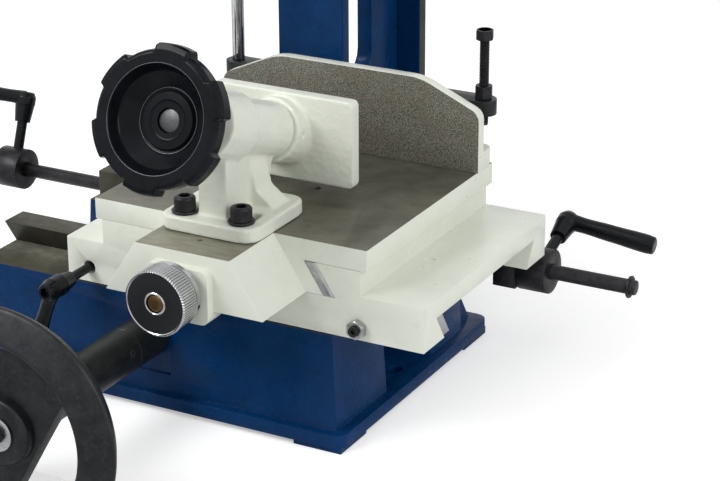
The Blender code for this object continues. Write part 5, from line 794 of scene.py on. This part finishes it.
def clamp_lever(name, node, joint_name, neck_length, neck_radius, stud_radius, hub_radius, arm):
    """Clamping lever: a turned hub with a neck, a stud behind and a hexagon socket in front, and an arm swept
    from the middle of the hub to the tip. arm lists (share of its length, radius); the radius blends between
    them by cosine steps, and the section is an ellipse. The swept tip stops tip_gap short of the solid's."""
    hub_reach, tip_gap, flatten = 0.012, 0.0014, 0.86
    joint = JOINTS[joint_name]
    axis = basis(joint["axis"])[2]
    origin = np.array(joint["pos_m"], float)
    offsets = node_points(node) - origin
    places = offsets @ axis
    reach = np.linalg.norm(offsets - places[:, None] * axis, axis=1)
    length = reach.max()
    hub_end, stud_end = places[reach < hub_reach].max(), places[reach < hub_reach].min()
    if abs(stud_end) < abs(hub_end):
        hub_end, stud_end = stud_end, hub_end
    tip = offsets[reach > length * 0.97].mean(axis=0)
    middle = hub_end / 2
    direction = tip - axis * (tip @ axis)
    direction /= np.linalg.norm(direction)
    neck_end = -math.copysign(neck_length, hub_end)
    hub_back = -math.copysign(0.0006, hub_end)
    socket_floor = hub_end * 0.82
    stud_and_neck = [(stud_end, 0.0), (stud_end, stud_radius), (neck_end, stud_radius),
                     (neck_end, neck_radius)]
    hub_side = [(hub_back, hub_radius * 0.96), (0.0, hub_radius), (hub_end * 0.60, hub_radius),
                (hub_end * 0.66, hub_radius * 0.95), (hub_end * 0.94, hub_radius * 0.80),
                (hub_end, hub_radius * 0.68)]
    socket = [(hub_end, hub_radius * 0.45), (socket_floor, hub_radius * 0.43), (socket_floor, 0.0)]

    def radius_at(row_places, radii, angles):
        inside = (radii < hub_radius * 0.455) & (radii > 0) & (np.abs(row_places) > abs(hub_end) * 0.8)
        return np.where(inside & (row_places * hub_end > 0), radii / to_flat(angles), radii)
    hub = turned(name, resampled(stud_and_neck + hub_side + socket, 0.0009), origin, axis, 72, radius_at)
    share = 0.5 * (1 - np.cos(np.linspace(0, math.pi, 44)))
    path = origin + axis * middle + direction * ((length - tip_gap) * share)[:, None]
    arm_shares, arm_radii = zip(*arm)
    radii = blended(arm_radii, arm_shares, share)
    return joined(name, [hub, swept(name, path, radii, flatten, 36, axis)])


def node_screw(name, node, along):
    """Cap screw in place of a solid one, with its head's top, radius and height taken from that solid."""
    points = node_points(node)
    along = np.array(along, float)
    places = points @ along
    head = points[places > places.max() - 0.0005]
    centre = (head.max(axis=0) + head.min(axis=0)) / 2
    centre += along * (places.max() - centre @ along)
    radii = np.linalg.norm((points - centre) - ((points - centre) @ along)[:, None] * along, axis=1)
    under = places[radii > radii.max() * 0.97].min()
    stem = radii[places < places.max() - (places.max() - under) * 1.2]
    stem_radius = stem.max() if len(stem) else radii.max() * 0.55
    return cap_screw(name, centre, along, radii.max(), places.max() - under, places.min() - places.max(),
                     min(stem_radius, radii.max() * 0.7))


# Direction of a corner of the stop bolt's head and nut, seen from above
STOP_HEXAGON_TURN = (0.94, 0.34, 0.0)


def stop_bolt(name="stop_bolt"):
    """Depth stop bolt: a chamfered hexagon head on a shank with a helical thread."""
    x, y, _ = middle_of("depth_stop_bolt")
    origin = (x, y, 0.0)
    low, high, radius = span("depth_stop_bolt", origin, UP)
    head_height, shank_radius = 0.0081, 0.00398
    flats = radius * 2 * math.cos(math.pi / 6)
    head_low = high - head_height
    head = hexagon_piece(name, origin, UP, head_low, high, flats, 0.0, STOP_HEXAGON_TURN)
    face_low = high - 0.001
    face = turned(name, [(face_low, 0.0), (high, 0.0), (high, 0.0052), (high - 0.0004, 0.0056),
                         (face_low, 0.0056)], origin, UP, 48)
    thread = threaded(name, origin, UP, low, head_low + 0.0002, shank_radius, sizes().thread_pitch)
    return joined(name, [head, face, thread])


def node_nut(name, node, along, bore, first=RIGHT):
    """Chamfered hexagon nut in place of a solid one."""
    middle = middle_of(node)
    low, high, radius = span(node, middle, along)
    return hexagon_piece(name, middle, along, low, high, radius * 2 * math.cos(math.pi / 6), bore, first)


def motor_shell(name="motor_shell"):
    """Motor: a turned housing whose radius between foot and cap carries n upright cooling fins,
    r = R - depth (1 - fin(a)), with a fan cap that has rounded louvre rings."""
    x, y, _ = middle_of("motor")
    origin = (x, y, 0.0)
    low, high, radius = span("motor", origin, UP)
    shell, cap_height = 0.072, 0.052
    fins, fin_depth, run_out = sizes().motor_fins, 0.0060, 0.003
    cap = high - cap_height
    shaft_hole, hole_end = 0.0095, low + 0.034
    foot = [(low, shaft_hole), (low, radius - 0.001), (low + 0.001, radius), (low + 0.011, radius),
            (low + 0.012, radius - 0.001), (low + 0.0124, shell - 0.0065)]
    finned = [(low + 0.016, shell - 0.0062), (low + 0.020, shell), (cap - 0.006, shell),
              (cap - 0.002, shell - 0.0062)]
    fan_cap = [(cap, shell - 0.0062), (cap + 0.0008, shell - 0.0006), (cap + 0.002, shell),
               (high - 0.020, shell - 0.001), (high - 0.008, shell - 0.0100), (high - 0.0020, shell - 0.0260),
               (high, shell - 0.0330)]
    rows = foot + finned + fan_cap
    louvres, louvre_step, first_louvre, louvre_floor = 4, 0.0082, shell - 0.037, high - 0.0016
    for ring in range(louvres):
        at = first_louvre - ring * louvre_step
        rows += [(high, at + 0.0018), (louvre_floor, at), (louvre_floor, at - 0.0026), (high, at - 0.0042)]
    rows += [(high, 0.0), (hole_end, 0.0), (hole_end, shaft_hole)]

    def radius_at(places, radii, angles):
        fin = np.clip((np.abs(np.cos(fins * angles / 2)) - 0.55) / 0.22, 0, 1)
        starts = np.clip((places - low - 0.016) / run_out, 0, 1)
        ends = np.clip((cap - run_out - places) / run_out, 0, 1)
        return np.where(radii > shell - 0.0065, radii - fin_depth * (1 - fin) * starts * ends, radii)
    return turned(name, resampled(rows, 0.0035), origin, UP, fins * 10, radius_at)


def auger(name="twist_auger"):
    """Auger bit: r = R (1 - depth (1 + cos(2 a - 4 pi place / lead)) / 2) below its shank, with a conical
    tip."""
    x, y, _ = middle_of("auger_bit")
    low, high, radius = span("auger_bit", (x, y, 0.0), UP)
    flute_top, lead, flute_depth, tip_height = low + 0.085, 0.019, 0.38, 0.006
    places = np.arange(low + tip_height, high, 0.0011)
    rows = [(low, 0.0), (low + 0.0004, radius * 0.12), (low + tip_height, radius * 0.98)]
    rows += [(place, radius) for place in places[1:]] + [(high, radius), (high, 0.0)]

    def radius_at(place, radii, angles):
        wave = flute_depth * (1 + np.cos(2 * angles - 2 * math.tau * place / lead)) / 2
        fade = np.clip((flute_top - place) / tip_height, 0, 1)
        return radii * (1 - wave * fade)
    return turned(name, rows, (x, y, 0.0), UP, 48, radius_at)


def feed_lever(name="feed_handle_shape"):
    """Feed handle: a turned hub, and arms with balls at their ends. An arm is swept along its line, with the
    radius R - waist sin(pi share), and a ball is turned from a half circle."""
    joint = JOINTS["feed_turn"]
    origin = np.array([0.0, joint["pos_m"][1], joint["pos_m"][2]])
    points = node_points("feed_handle")
    flat = points[:, 1:] - origin[1:]
    reach = np.linalg.norm(flat, axis=1)
    hub_reach, ball, arms = 0.0195, 0.0118, 3
    hub = points[reach < hub_reach, 0]
    hub_low, hub_high = hub.min(), hub.max()
    rows = softened([(hub_low, 0.0082), (hub_low, 0.0175), (hub_low + 0.002, 0.019),
                     (hub_high - 0.005, 0.019), (hub_high - 0.001, 0.0155), (hub_high, 0.0082)],
                    (0, 0.0008, 0.001, 0.002, 0.002, 0), 3)
    shells = [turned(name, rows, origin, RIGHT)]
    far = points[reach > reach.max() * 0.90]
    turns = np.arctan2(far[:, 2] - origin[2], far[:, 1] - origin[1])
    first_turn = math.atan2(np.sin(arms * turns).mean(), np.cos(arms * turns).mean()) / arms
    arm_radius, waist, arm_start = 0.0050, 0.0008, 0.010
    share = np.linspace(0, 1, 24)[:, None]
    half_circle = [(-math.cos(a) * ball, max(math.sin(a) * ball, 0.0)) for a in np.linspace(0, math.pi, 26)]
    ball_place = reach.max() - ball
    for index in range(arms):
        turn = first_turn + index * math.tau / arms
        outward = np.array([0.0, math.cos(turn), math.sin(turn)])
        mid = points[np.abs((points - origin) @ outward - ball_place) < 0.004][:, 0]
        hub_middle = (hub_low + hub_high) / 2
        end = outward * ball_place + np.array([mid.mean() if len(mid) else hub_middle, 0, 0])
        start = np.array([hub_middle, 0, 0]) + outward * arm_start
        shells.append(swept(name, origin + start + (end - start) * share,
                            arm_radius - waist * np.sin(math.pi * share[:, 0]), 1.0, 24, (1, 0, 0.01)))
        shells.append(turned(name, half_circle, origin + end, outward, 48))
    return joined(name, shells)


# Which finish each solid or shape has, and where the enamel gives way to machined iron

# Pairs are the bounds between which a face is machined: heights of the rails and of the table's top, and
# distances along Y of the column's edge and of the fence's face
RAIL_HEIGHTS = (0.0886, 0.120)
TABLE_TOP = (0.1594, 0.1610)
COLUMN_EDGE = (0.0645, 0.0765)
FENCE_FACE = (-0.1475, -0.1455)
# Small holes of the table: height of the floor, radii over which their bare wall ends, and a reach that holds
# all the corners of one floor
HOLE_FLOOR = 0.154
HOLE_WALL = (0.0034, 0.0036)
HOLE_SPREAD = 0.008


def bare_rails(finish):
    """Where the base is ground: its rails, apart from their ends."""
    ends = finish.sums("ADD", finish.facing(RIGHT), finish.facing((-1.0, 0.0, 0.0)))
    return finish.sums("MULTIPLY", finish.between(2, *RAIL_HEIGHTS), finish.sums("SUBTRACT", 1.0, ends))


def bare_column_edge(finish):
    """Where the column is ground: the right edge of its rear flange."""
    return finish.sums("MULTIPLY", finish.facing(RIGHT), finish.between(1, *COLUMN_EDGE))


def bare_fence_face(finish):
    """Where the fence is ground: the face that the work lies against."""
    return finish.sums("MULTIPLY", finish.facing(TO_OPERATOR), finish.between(1, *FENCE_FACE))


def bare_table(finish):
    """Where the table is ground: its top, and the walls of the small holes in it, which are found by the
    corners of their floors."""
    where = finish.sums("MULTIPLY", finish.facing(UP), finish.between(2, *TABLE_TOP))
    points = node_points("table_casting")
    floors = points[np.abs(points[:, 2] - HOLE_FLOOR) < 0.0001, :2]
    while len(floors):
        near = np.linalg.norm(floors - floors[0], axis=1) < HOLE_SPREAD
        hole = finish.away((0, 1), floors[near].mean(axis=0))
        where = finish.sums("MAXIMUM", where, finish.spread(hole, *HOLE_WALL, 1.0, 0.0))
        floors = floors[~near]
    return where


def solid_finishes():
    """Tables of finishes: by solid, for each way of rounding the solids' edges, and by kind, for the shapes
    that stand in for solids."""
    tones = colours()
    blue_base = hammered_blue("blue_base", bare_rails)
    blue_column = hammered_blue("blue_column", bare_column_edge)
    blue_head = hammered_blue("blue_head")
    cream_saddle = cream_enamel("cream_saddle")
    cream_table = cream_enamel("cream_table", bare_table)
    cream_fence = cream_enamel("cream_fence", bare_fence_face, speckle=True)
    cream_vise = cream_enamel("cream_vise", rough=True)
    steel = bright_steel("ground_bright", tuple(tones.steel), streak=(1.0, 6.0, 1.0))
    along_z = bright_steel("drawn_bright", tuple(tones.steel), streak=(6.0, 6.0, 0.6))
    worn = bright_steel("worn_steel", darker(tones.steel, 0.20), 0.36, 0.50)
    chrome = bright_steel("chrome_plate", tuple(tones.chrome), 0.05, 0.12, stain=0.08)
    oxide = dark_metal("oxide_skin", tuple(tones.oxide))
    satin = dark_metal("satin_skin", tuple(tones.satin), 0.32, 0.44, 0.55)
    motor = dark_metal("motor_skin", tuple(tones.satin), 0.36, 0.5, 0.35, 0.00025, 260.0)
    brass = bright_steel("brass_turned", tuple(tones.brass), 0.3, 0.45, stain=0.35)
    plastic = moulded("plastic_gloss", tuple(tones.plastic))
    button = moulded("button_gloss", tuple(tones.button))
    return {
        "cast": {"base_casting": blue_base, "column_casting": blue_column, "head_casting": blue_head,
                 "saddle_casting": cream_saddle, "table_casting": cream_table, "fence": cream_fence},
        "rough": {"vise_body": cream_vise, "vise_jaw": cream_vise},
        "moulded": {"switch_box": plastic, "switch_button": button},
        "machined": {
            "x_gib": steel, "y_gib": steel, "saddle_rack": steel, "x_pinion_shaft": steel, "feed_rack": steel,
            "feed_shaft": steel, "chuck_spindle": steel, "chisel_bushing": steel, "x_handwheel_washer": steel,
            "head_keeper_left": along_z, "head_keeper_right": along_z, "hollow_chisel": along_z,
            "vise_screw": worn, "y_leadscrew": brass, "y_feed_nut": brass, "gas_spring_rod": chrome,
            "depth_stop_arm": satin, "gas_spring_cylinder": satin, "chuck_door": satin,
            "vise_washer_1": oxide, "vise_washer_2": oxide, "stop_rod": oxide,
            "stop_rod_clip_left": oxide, "stop_rod_clip_right": oxide, "stop_block_left": oxide,
            "stop_block_right": oxide, "stop_collar_left": oxide, "stop_collar_right": oxide,
            "x_gib_screw": oxide, "column_bolt_1": oxide, "column_bolt_2": oxide},
        "shaped": {"satin": satin, "plastic": plastic, "oxide": oxide, "steel": steel, "worn": worn,
                   "motor": motor, "knob": knob_finish(), "wheel": moulded_wheel()},
    }


def knob_finish():
    """Knurled plating with a dark satin face that shows the turning marks, outside a bright centre ring. The
    marks are sin(ring_scale r), r being the distance from the knob's axis."""
    x, _, z = JOINTS["y_knob_turn"]["pos_m"]
    ring_scale, ring_depth = 9000.0, 0.00001
    finish = Finish("knob_plate", metallic=1.0)
    away = finish.away((0, 2), (x, z))
    rings = finish.sums("SINE", finish.sums("MULTIPLY", away, ring_scale), 0.0)
    face = finish.facing(TO_OPERATOR, 0.80, 0.95)
    disc = finish.sums("MULTIPLY", finish.spread(away, 0.0226, 0.0230, 1.0, 0.0),
                       finish.spread(away, 0.0083, 0.0087))
    inner = finish.sums("MULTIPLY", face, disc)
    bright = darker(colours().chrome, 0.72)
    clouds = finish.spread(finish.noise(60.0, 4.0), 0.4, 0.7, 0.0, 0.3)
    plate = finish.mixed(clouds, bright, darker(bright, 0.5))
    dark = finish.mixed(finish.spread(rings, -1.0, 1.0), (0.085, 0.090, 0.094), (0.130, 0.136, 0.140))
    finish.coloured(finish.mixed(inner, plate, dark))
    finish.roughened(finish.spread(inner, 0.0, 1.0, 0.14, 0.38))
    return finish.raised(rings, ring_depth, 0.3).material


def moulded_wheel():
    """Gloss black moulding with a faint flow pattern."""
    finish = Finish("wheel_moulding", coat=0.05, specular=0.10)
    tone = finish.noise(45.0, 3.0, 0.6)
    black = tuple(colours().plastic)
    finish.coloured(finish.mixed(finish.spread(tone, 0.35, 0.7), darker(black, 0.8), darker(black, 1.6)))
    finish.roughened(finish.spread(finish.noise(160.0, 4.0, 0.7), 0.3, 0.7, 0.17, 0.31))
    return finish.raised(finish.noise(520.0, 2.0), 0.00006, 0.35).material


FINISHES = {}


def shaped(key):
    """Finish of a shape that stands in for solids."""
    return finishes()["shaped"][key]


def finishes():
    """The table of finishes, made when it is first asked for."""
    if not FINISHES:
        FINISHES.update(solid_finishes())
    return FINISHES


def stand_in(thing, material, *nodes):
    """Dress a piece that takes the place of solids, with the body of the first of them."""
    return dressed(thing, material, BODY_OF[nodes[0]], SLOT_OF[nodes[0]], *nodes)


# Operators: one for each piece or group of like pieces

class MORTISER_OT_castings(Operator):
    """Round and paint the castings"""
    bl_idname = "mortiser.castings"
    bl_label = "Castings"

    def execute(self, context):
        for node, material in finishes()["cast"].items():
            rounded_node(node, material, sizes().casting_edge, 3)
        for node, material in finishes()["rough"].items():
            thing = rounded_node(node, material, 0.0)
            grain = thing.modifiers.new("Cast form", "REMESH")
            grain.mode = "VOXEL"
            grain.voxel_size = sizes().casting_grain
            grain.use_smooth_shade = True
            fillets = thing.modifiers.new("Fillets", "SMOOTH")
            fillets.factor = 0.5
            fillets.iterations = 9
        return {"FINISHED"}


class MORTISER_OT_machined(Operator):
    """Finish the machined and moulded solids"""
    bl_idname = "mortiser.machined"
    bl_label = "Machined pieces"

    def execute(self, context):
        for node, material in finishes()["machined"].items():
            rounded_node(node, material, sizes().machined_edge)
        for node, material in finishes()["moulded"].items():
            rounded_node(node, material, 4 * sizes().machined_edge, 3)
        return {"FINISHED"}


class MORTISER_OT_large_wheel(Operator):
    """Turn the large handwheel, its centre screw, its sleeve with a grub screw, and its bush"""
    bl_idname = "mortiser.large_wheel"
    bl_label = "Large handwheel"

    def execute(self, context):
        satin = shaped("satin")
        stand_in(handwheel(), satin, "x_handwheel")
        stand_in(node_screw("large_wheel_screw", "x_handwheel_screw", TO_OPERATOR), shaped("oxide"),
                 "x_handwheel_screw")
        # seam and bush_step are distances from the plane y = 0 along the shaft, towards the operator
        seam, gap, tube_radius, bush_step = 0.3640, 0.0003, 0.0172, 0.3252
        origin = axis_point("x_wheel_turn")
        sleeve_end = span("x_shaft_sleeve", origin, TO_OPERATOR)[1]
        bush_end, _, bush_radius = span("x_shaft_bush", origin, TO_OPERATOR)
        sleeve = shaft_tube("long_sleeve", "x_shaft_sleeve", [(seam, sleeve_end, tube_radius)])
        stand_in(sleeve, satin, "x_shaft_sleeve")
        bush = shaft_tube("front_bush", "x_shaft_bush",
                          [(bush_end, bush_step, bush_radius), (bush_step, seam - gap, tube_radius)])
        stand_in(bush, satin, "x_shaft_bush")

        turn, from_seam, proud, head_radius, head_height = math.radians(18.0), 0.010, 0.0001, 0.0034, 0.0032
        outward = np.array([math.cos(turn), 0.0, math.sin(turn)])
        top = origin + outward * (tube_radius + proud) - np.array([0.0, seam + from_seam, 0.0])
        grub = cap_screw("sleeve_grub_screw", top, outward, head_radius, head_height, ridges=12)
        dressed(grub, shaped("worn"), BODY_OF["x_shaft_sleeve"], SLOT_OF["stop_rod"])
        return {"FINISHED"}


class MORTISER_OT_vise_wheel(Operator):
    """Mould the vise handwheel with its lobes and dish, and thin rings as painted highlights"""
    bl_idname = "mortiser.vise_wheel"
    bl_label = "Vise handwheel"

    def execute(self, context):
        stand_in(vise_wheel(), shaped("wheel"), "vise_handwheel")
        # thin steel rings as painted highlights on the wheel's lip and dish
        dressed(highlight_rings(), shaped("worn"), BODY_OF["vise_handwheel"], "ground_steel")
        return {"FINISHED"}


class MORTISER_OT_knob(Operator):
    """Turn and knurl the table knob"""
    bl_idname = "mortiser.knob"
    bl_label = "Table knob"

    def execute(self, context):
        stand_in(knurled_knob(), shaped("knob"), "y_knob")
        return {"FINISHED"}


class MORTISER_OT_levers(Operator):
    """Mould the clamping levers of saddle and stop collars"""
    bl_idname = "mortiser.levers"
    bl_label = "Clamping levers"

    def execute(self, context):
        slim = ((0.0, 0.0068), (0.22, 0.0056), (0.36, 0.0055), (0.76, 0.0076), (0.90, 0.0073),
                (0.975, 0.0050), (1.0, 0.0010))
        stout = ((0.0, 0.0075), (0.2, 0.0068), (0.5, 0.0075), (0.9, 0.0083), (0.985, 0.0077), (1.0, 0.0060))
        lock_form = {"neck_length": 0.0120, "neck_radius": 0.0060, "stud_radius": 0.0036,
                     "hub_radius": 0.0085, "arm": slim}
        stop_form = {"neck_length": 0.0160, "neck_radius": 0.0068, "stud_radius": 0.0045,
                     "hub_radius": 0.0090, "arm": stout}
        for node, joint_name, form in (("x_lock_lever", "x_lock_turn", lock_form),
                                       ("stop_lever_right", "lever_right_turn", stop_form),
                                       ("stop_lever_left", "lever_left_turn", stop_form)):
            stand_in(clamp_lever(f"{node}_moulded", node, joint_name, **form), shaped("plastic"), node)
        return {"FINISHED"}


class MORTISER_OT_screws(Operator):
    """Turn the cap screws, the stop bolt and the nuts"""
    bl_idname = "mortiser.screws"
    bl_label = "Screws and nuts"

    def execute(self, context):
        oxide = shaped("oxide")
        for node in ("vise_bolt_1", "vise_bolt_2", "fence_bolt_1", "fence_bolt_2"):
            stand_in(node_screw(f"{node}_turned", node, UP), oxide, node)
        stand_in(stop_bolt(), oxide, "depth_stop_bolt")
        stop_bore, gib_bore = 0.0042, 0.0043
        stop_nut = node_nut("stop_nut", "depth_stop_nut", UP, stop_bore, STOP_HEXAGON_TURN)
        stand_in(stop_nut, oxide, "depth_stop_nut")
        stand_in(node_nut("gib_nut", "x_gib_nut", TO_OPERATOR, gib_bore), shaped("steel"), "x_gib_nut")
        return {"FINISHED"}


class MORTISER_OT_drive(Operator):
    """Shape the motor, the auger bit and the feed handle"""
    bl_idname = "mortiser.drive"
    bl_label = "Motor, auger and feed handle"

    def execute(self, context):
        stand_in(motor_shell(), shaped("motor"), "motor")
        stand_in(auger(), shaped("steel"), "auger_bit")
        stand_in(feed_lever(), shaped("satin"), "feed_handle")
        return {"FINISHED"}


def bench_finish(name, colour, roughness, glow):
    """Finish of the bench and the floor: an even pale surface with a slight mottle, which glows to the view
    only and so lights nothing."""
    finish = Finish(name, roughness=roughness, specular=0.2)
    tone = finish.noise(3.0, 2.0)
    finish.coloured(finish.mixed(finish.spread(tone, 0.3, 0.7), darker(colour, 0.99), colour))
    finish.surface.inputs["Emission Color"].default_value = (1.0, 1.0, 1.0, 1.0)
    rays = finish.tree.nodes.new("ShaderNodeLightPath")
    finish.link(finish.sums("MULTIPLY", rays.outputs["Is Camera Ray"], glow),
                finish.surface.inputs["Emission Strength"])
    return finish.material


def box_mesh(name, low, high, material):
    """Closed box for the stage."""
    shape = bmesh.new()
    bmesh.ops.create_cube(shape, size=1.0)
    size = Vector(high) - Vector(low)
    middle = (Vector(high) + Vector(low)) / 2
    bmesh.ops.transform(shape, matrix=Matrix.Translation(middle) @ Matrix.Diagonal(size).to_4x4(),
                        verts=shape.verts)
    mesh = bpy.data.meshes.new(name)
    shape.to_mesh(mesh)
    shape.free()
    made = bpy.data.objects.new(name, mesh)
    bpy.context.collection.objects.link(made)
    mesh.materials.append(material)


def area_lamp(name, place, target, size, power):
    """Rectangular lamp that looks at a target."""
    lamp = bpy.data.lights.new(name, "AREA")
    lamp.shape = "RECTANGLE"
    lamp.size, lamp.size_y = size
    lamp.energy = power
    made = bpy.data.objects.new(name, lamp)
    made.location = place
    made.rotation_euler = (Vector(target) - Vector(place)).to_track_quat("-Z", "Y").to_euler()
    bpy.context.collection.objects.link(made)


def white_room(brightness):
    """World that is full white to the view and in reflections, and lights the rest less."""
    world = bpy.data.worlds.new("white_room")
    world.use_nodes = True
    tree = world.node_tree
    background = tree.nodes["Background"]
    rays = tree.nodes.new("ShaderNodeLightPath")
    seen = rays.outputs["Is Camera Ray"]
    for kind in ("Is Glossy Ray", "Is Transmission Ray"):
        larger = tree.nodes.new("ShaderNodeMath")
        larger.operation = "MAXIMUM"
        tree.links.new(seen, larger.inputs[0])
        tree.links.new(rays.outputs[kind], larger.inputs[1])
        seen = larger.outputs["Value"]
    strength = tree.nodes.new("ShaderNodeMapRange")
    tree.links.new(seen, strength.inputs["Value"])
    strength.inputs["To Min"].default_value = brightness
    strength.inputs["To Max"].default_value = 1.0
    tree.links.new(strength.outputs["Result"], background.inputs["Strength"])
    background.inputs["Color"].default_value = (1.0, 1.0, 1.0, 1.0)
    return world


class MORTISER_OT_stage(Operator):
    """Set the machine on a pale bench in soft light, with the view of the photograph"""
    bl_idname = "mortiser.stage"
    bl_label = "Stage, light and view"

    def execute(self, context):
        settings = stage_settings()
        scene = context.scene
        bench_edge = float(node_points("x_handwheel")[:, 1].max()) + settings.bench_gap
        bench_height, slab, far_side, room = 0.9, 0.05, 5.0, 8.0
        pale = bench_finish("bench_white", colour=(0.90, 0.90, 0.90), roughness=0.8, glow=0.42)
        box_mesh("stage_bench", (-room / 2, bench_edge, -bench_height), (room / 2, far_side, 0.0), pale)
        box_mesh("stage_floor", (-room, -room, -bench_height - slab), (room, room, -bench_height), pale)
        scene.world = white_room(settings.world_light)

        power, table = settings.key_light, (0.05, -0.2, 0.15)
        area_lamp("key_lamp", (-0.9, -1.5, 1.5), table, (1.1, 0.8), power * 1.12)
        area_lamp("side_lamp", (1.5, -0.5, 0.9), table, (0.8, 0.8), power * 0.35)
        area_lamp("top_lamp", (0.1, -0.4, 1.9), (0.05, -0.2, 0.1), (1.2, 1.2), power * 0.07)

        camera = bpy.data.cameras.new("view")
        camera.lens = settings.lens
        camera.clip_start = 0.05
        made = bpy.data.objects.new("view", camera)
        turn = Matrix.Rotation(settings.camera_azimuth, 4, "Z") \
            @ Matrix.Rotation(math.pi / 2 - settings.camera_pitch, 4, "X") \
            @ Matrix.Rotation(settings.camera_roll, 4, "Z")
        made.matrix_world = Matrix.Translation(settings.camera_place) @ turn
        context.collection.objects.link(made)
        scene.camera = made
        scene.view_settings.view_transform = "Standard"
        return {"FINISHED"}


class MORTISER_PT_panel(Panel):
    """Sizes, colours and the steps that build the looks"""
    bl_idname = "MORTISER_PT_panel"
    bl_label = "Benchtop mortiser"
    bl_space_type = "VIEW_3D"
    bl_region_type = "UI"
    bl_category = "Mortiser"

    def draw(self, context):
        layout = self.layout
        for heading, group in (("Colours", context.scene.mortiser_colours),
                               ("Sizes", context.scene.mortiser_sizes),
                               ("Stage", context.scene.mortiser_stage)):
            column = layout.column(heading=heading)
            for name in group.__annotations__:
                column.prop(group, name)
        column = layout.column(heading="Build")
        for operator in OPERATORS:
            column.operator(operator.bl_idname)


OPERATORS = (MORTISER_OT_castings, MORTISER_OT_machined, MORTISER_OT_large_wheel, MORTISER_OT_vise_wheel,
             MORTISER_OT_knob, MORTISER_OT_levers, MORTISER_OT_screws, MORTISER_OT_drive, MORTISER_OT_stage)
GROUPS = (MortiserColours, MortiserSizes, MortiserStage)


def register():
    for group in GROUPS + OPERATORS + (MORTISER_PT_panel,):
        bpy.utils.register_class(group)
    bpy.types.Scene.mortiser_colours = PointerProperty(type=MortiserColours)
    bpy.types.Scene.mortiser_sizes = PointerProperty(type=MortiserSizes)
    bpy.types.Scene.mortiser_stage = PointerProperty(type=MortiserStage)


def unregister():
    del bpy.types.Scene.mortiser_colours
    del bpy.types.Scene.mortiser_sizes
    del bpy.types.Scene.mortiser_stage
    for group in reversed(GROUPS + OPERATORS + (MORTISER_PT_panel,)):
        bpy.utils.unregister_class(group)


def main():
    register()
    bpy.ops.mortiser.castings()
    bpy.ops.mortiser.machined()
    bpy.ops.mortiser.large_wheel()
    bpy.ops.mortiser.vise_wheel()
    bpy.ops.mortiser.knob()
    bpy.ops.mortiser.levers()
    bpy.ops.mortiser.screws()
    bpy.ops.mortiser.drive()
    bpy.ops.mortiser.stage()


if __name__ == "__main__":
    main()
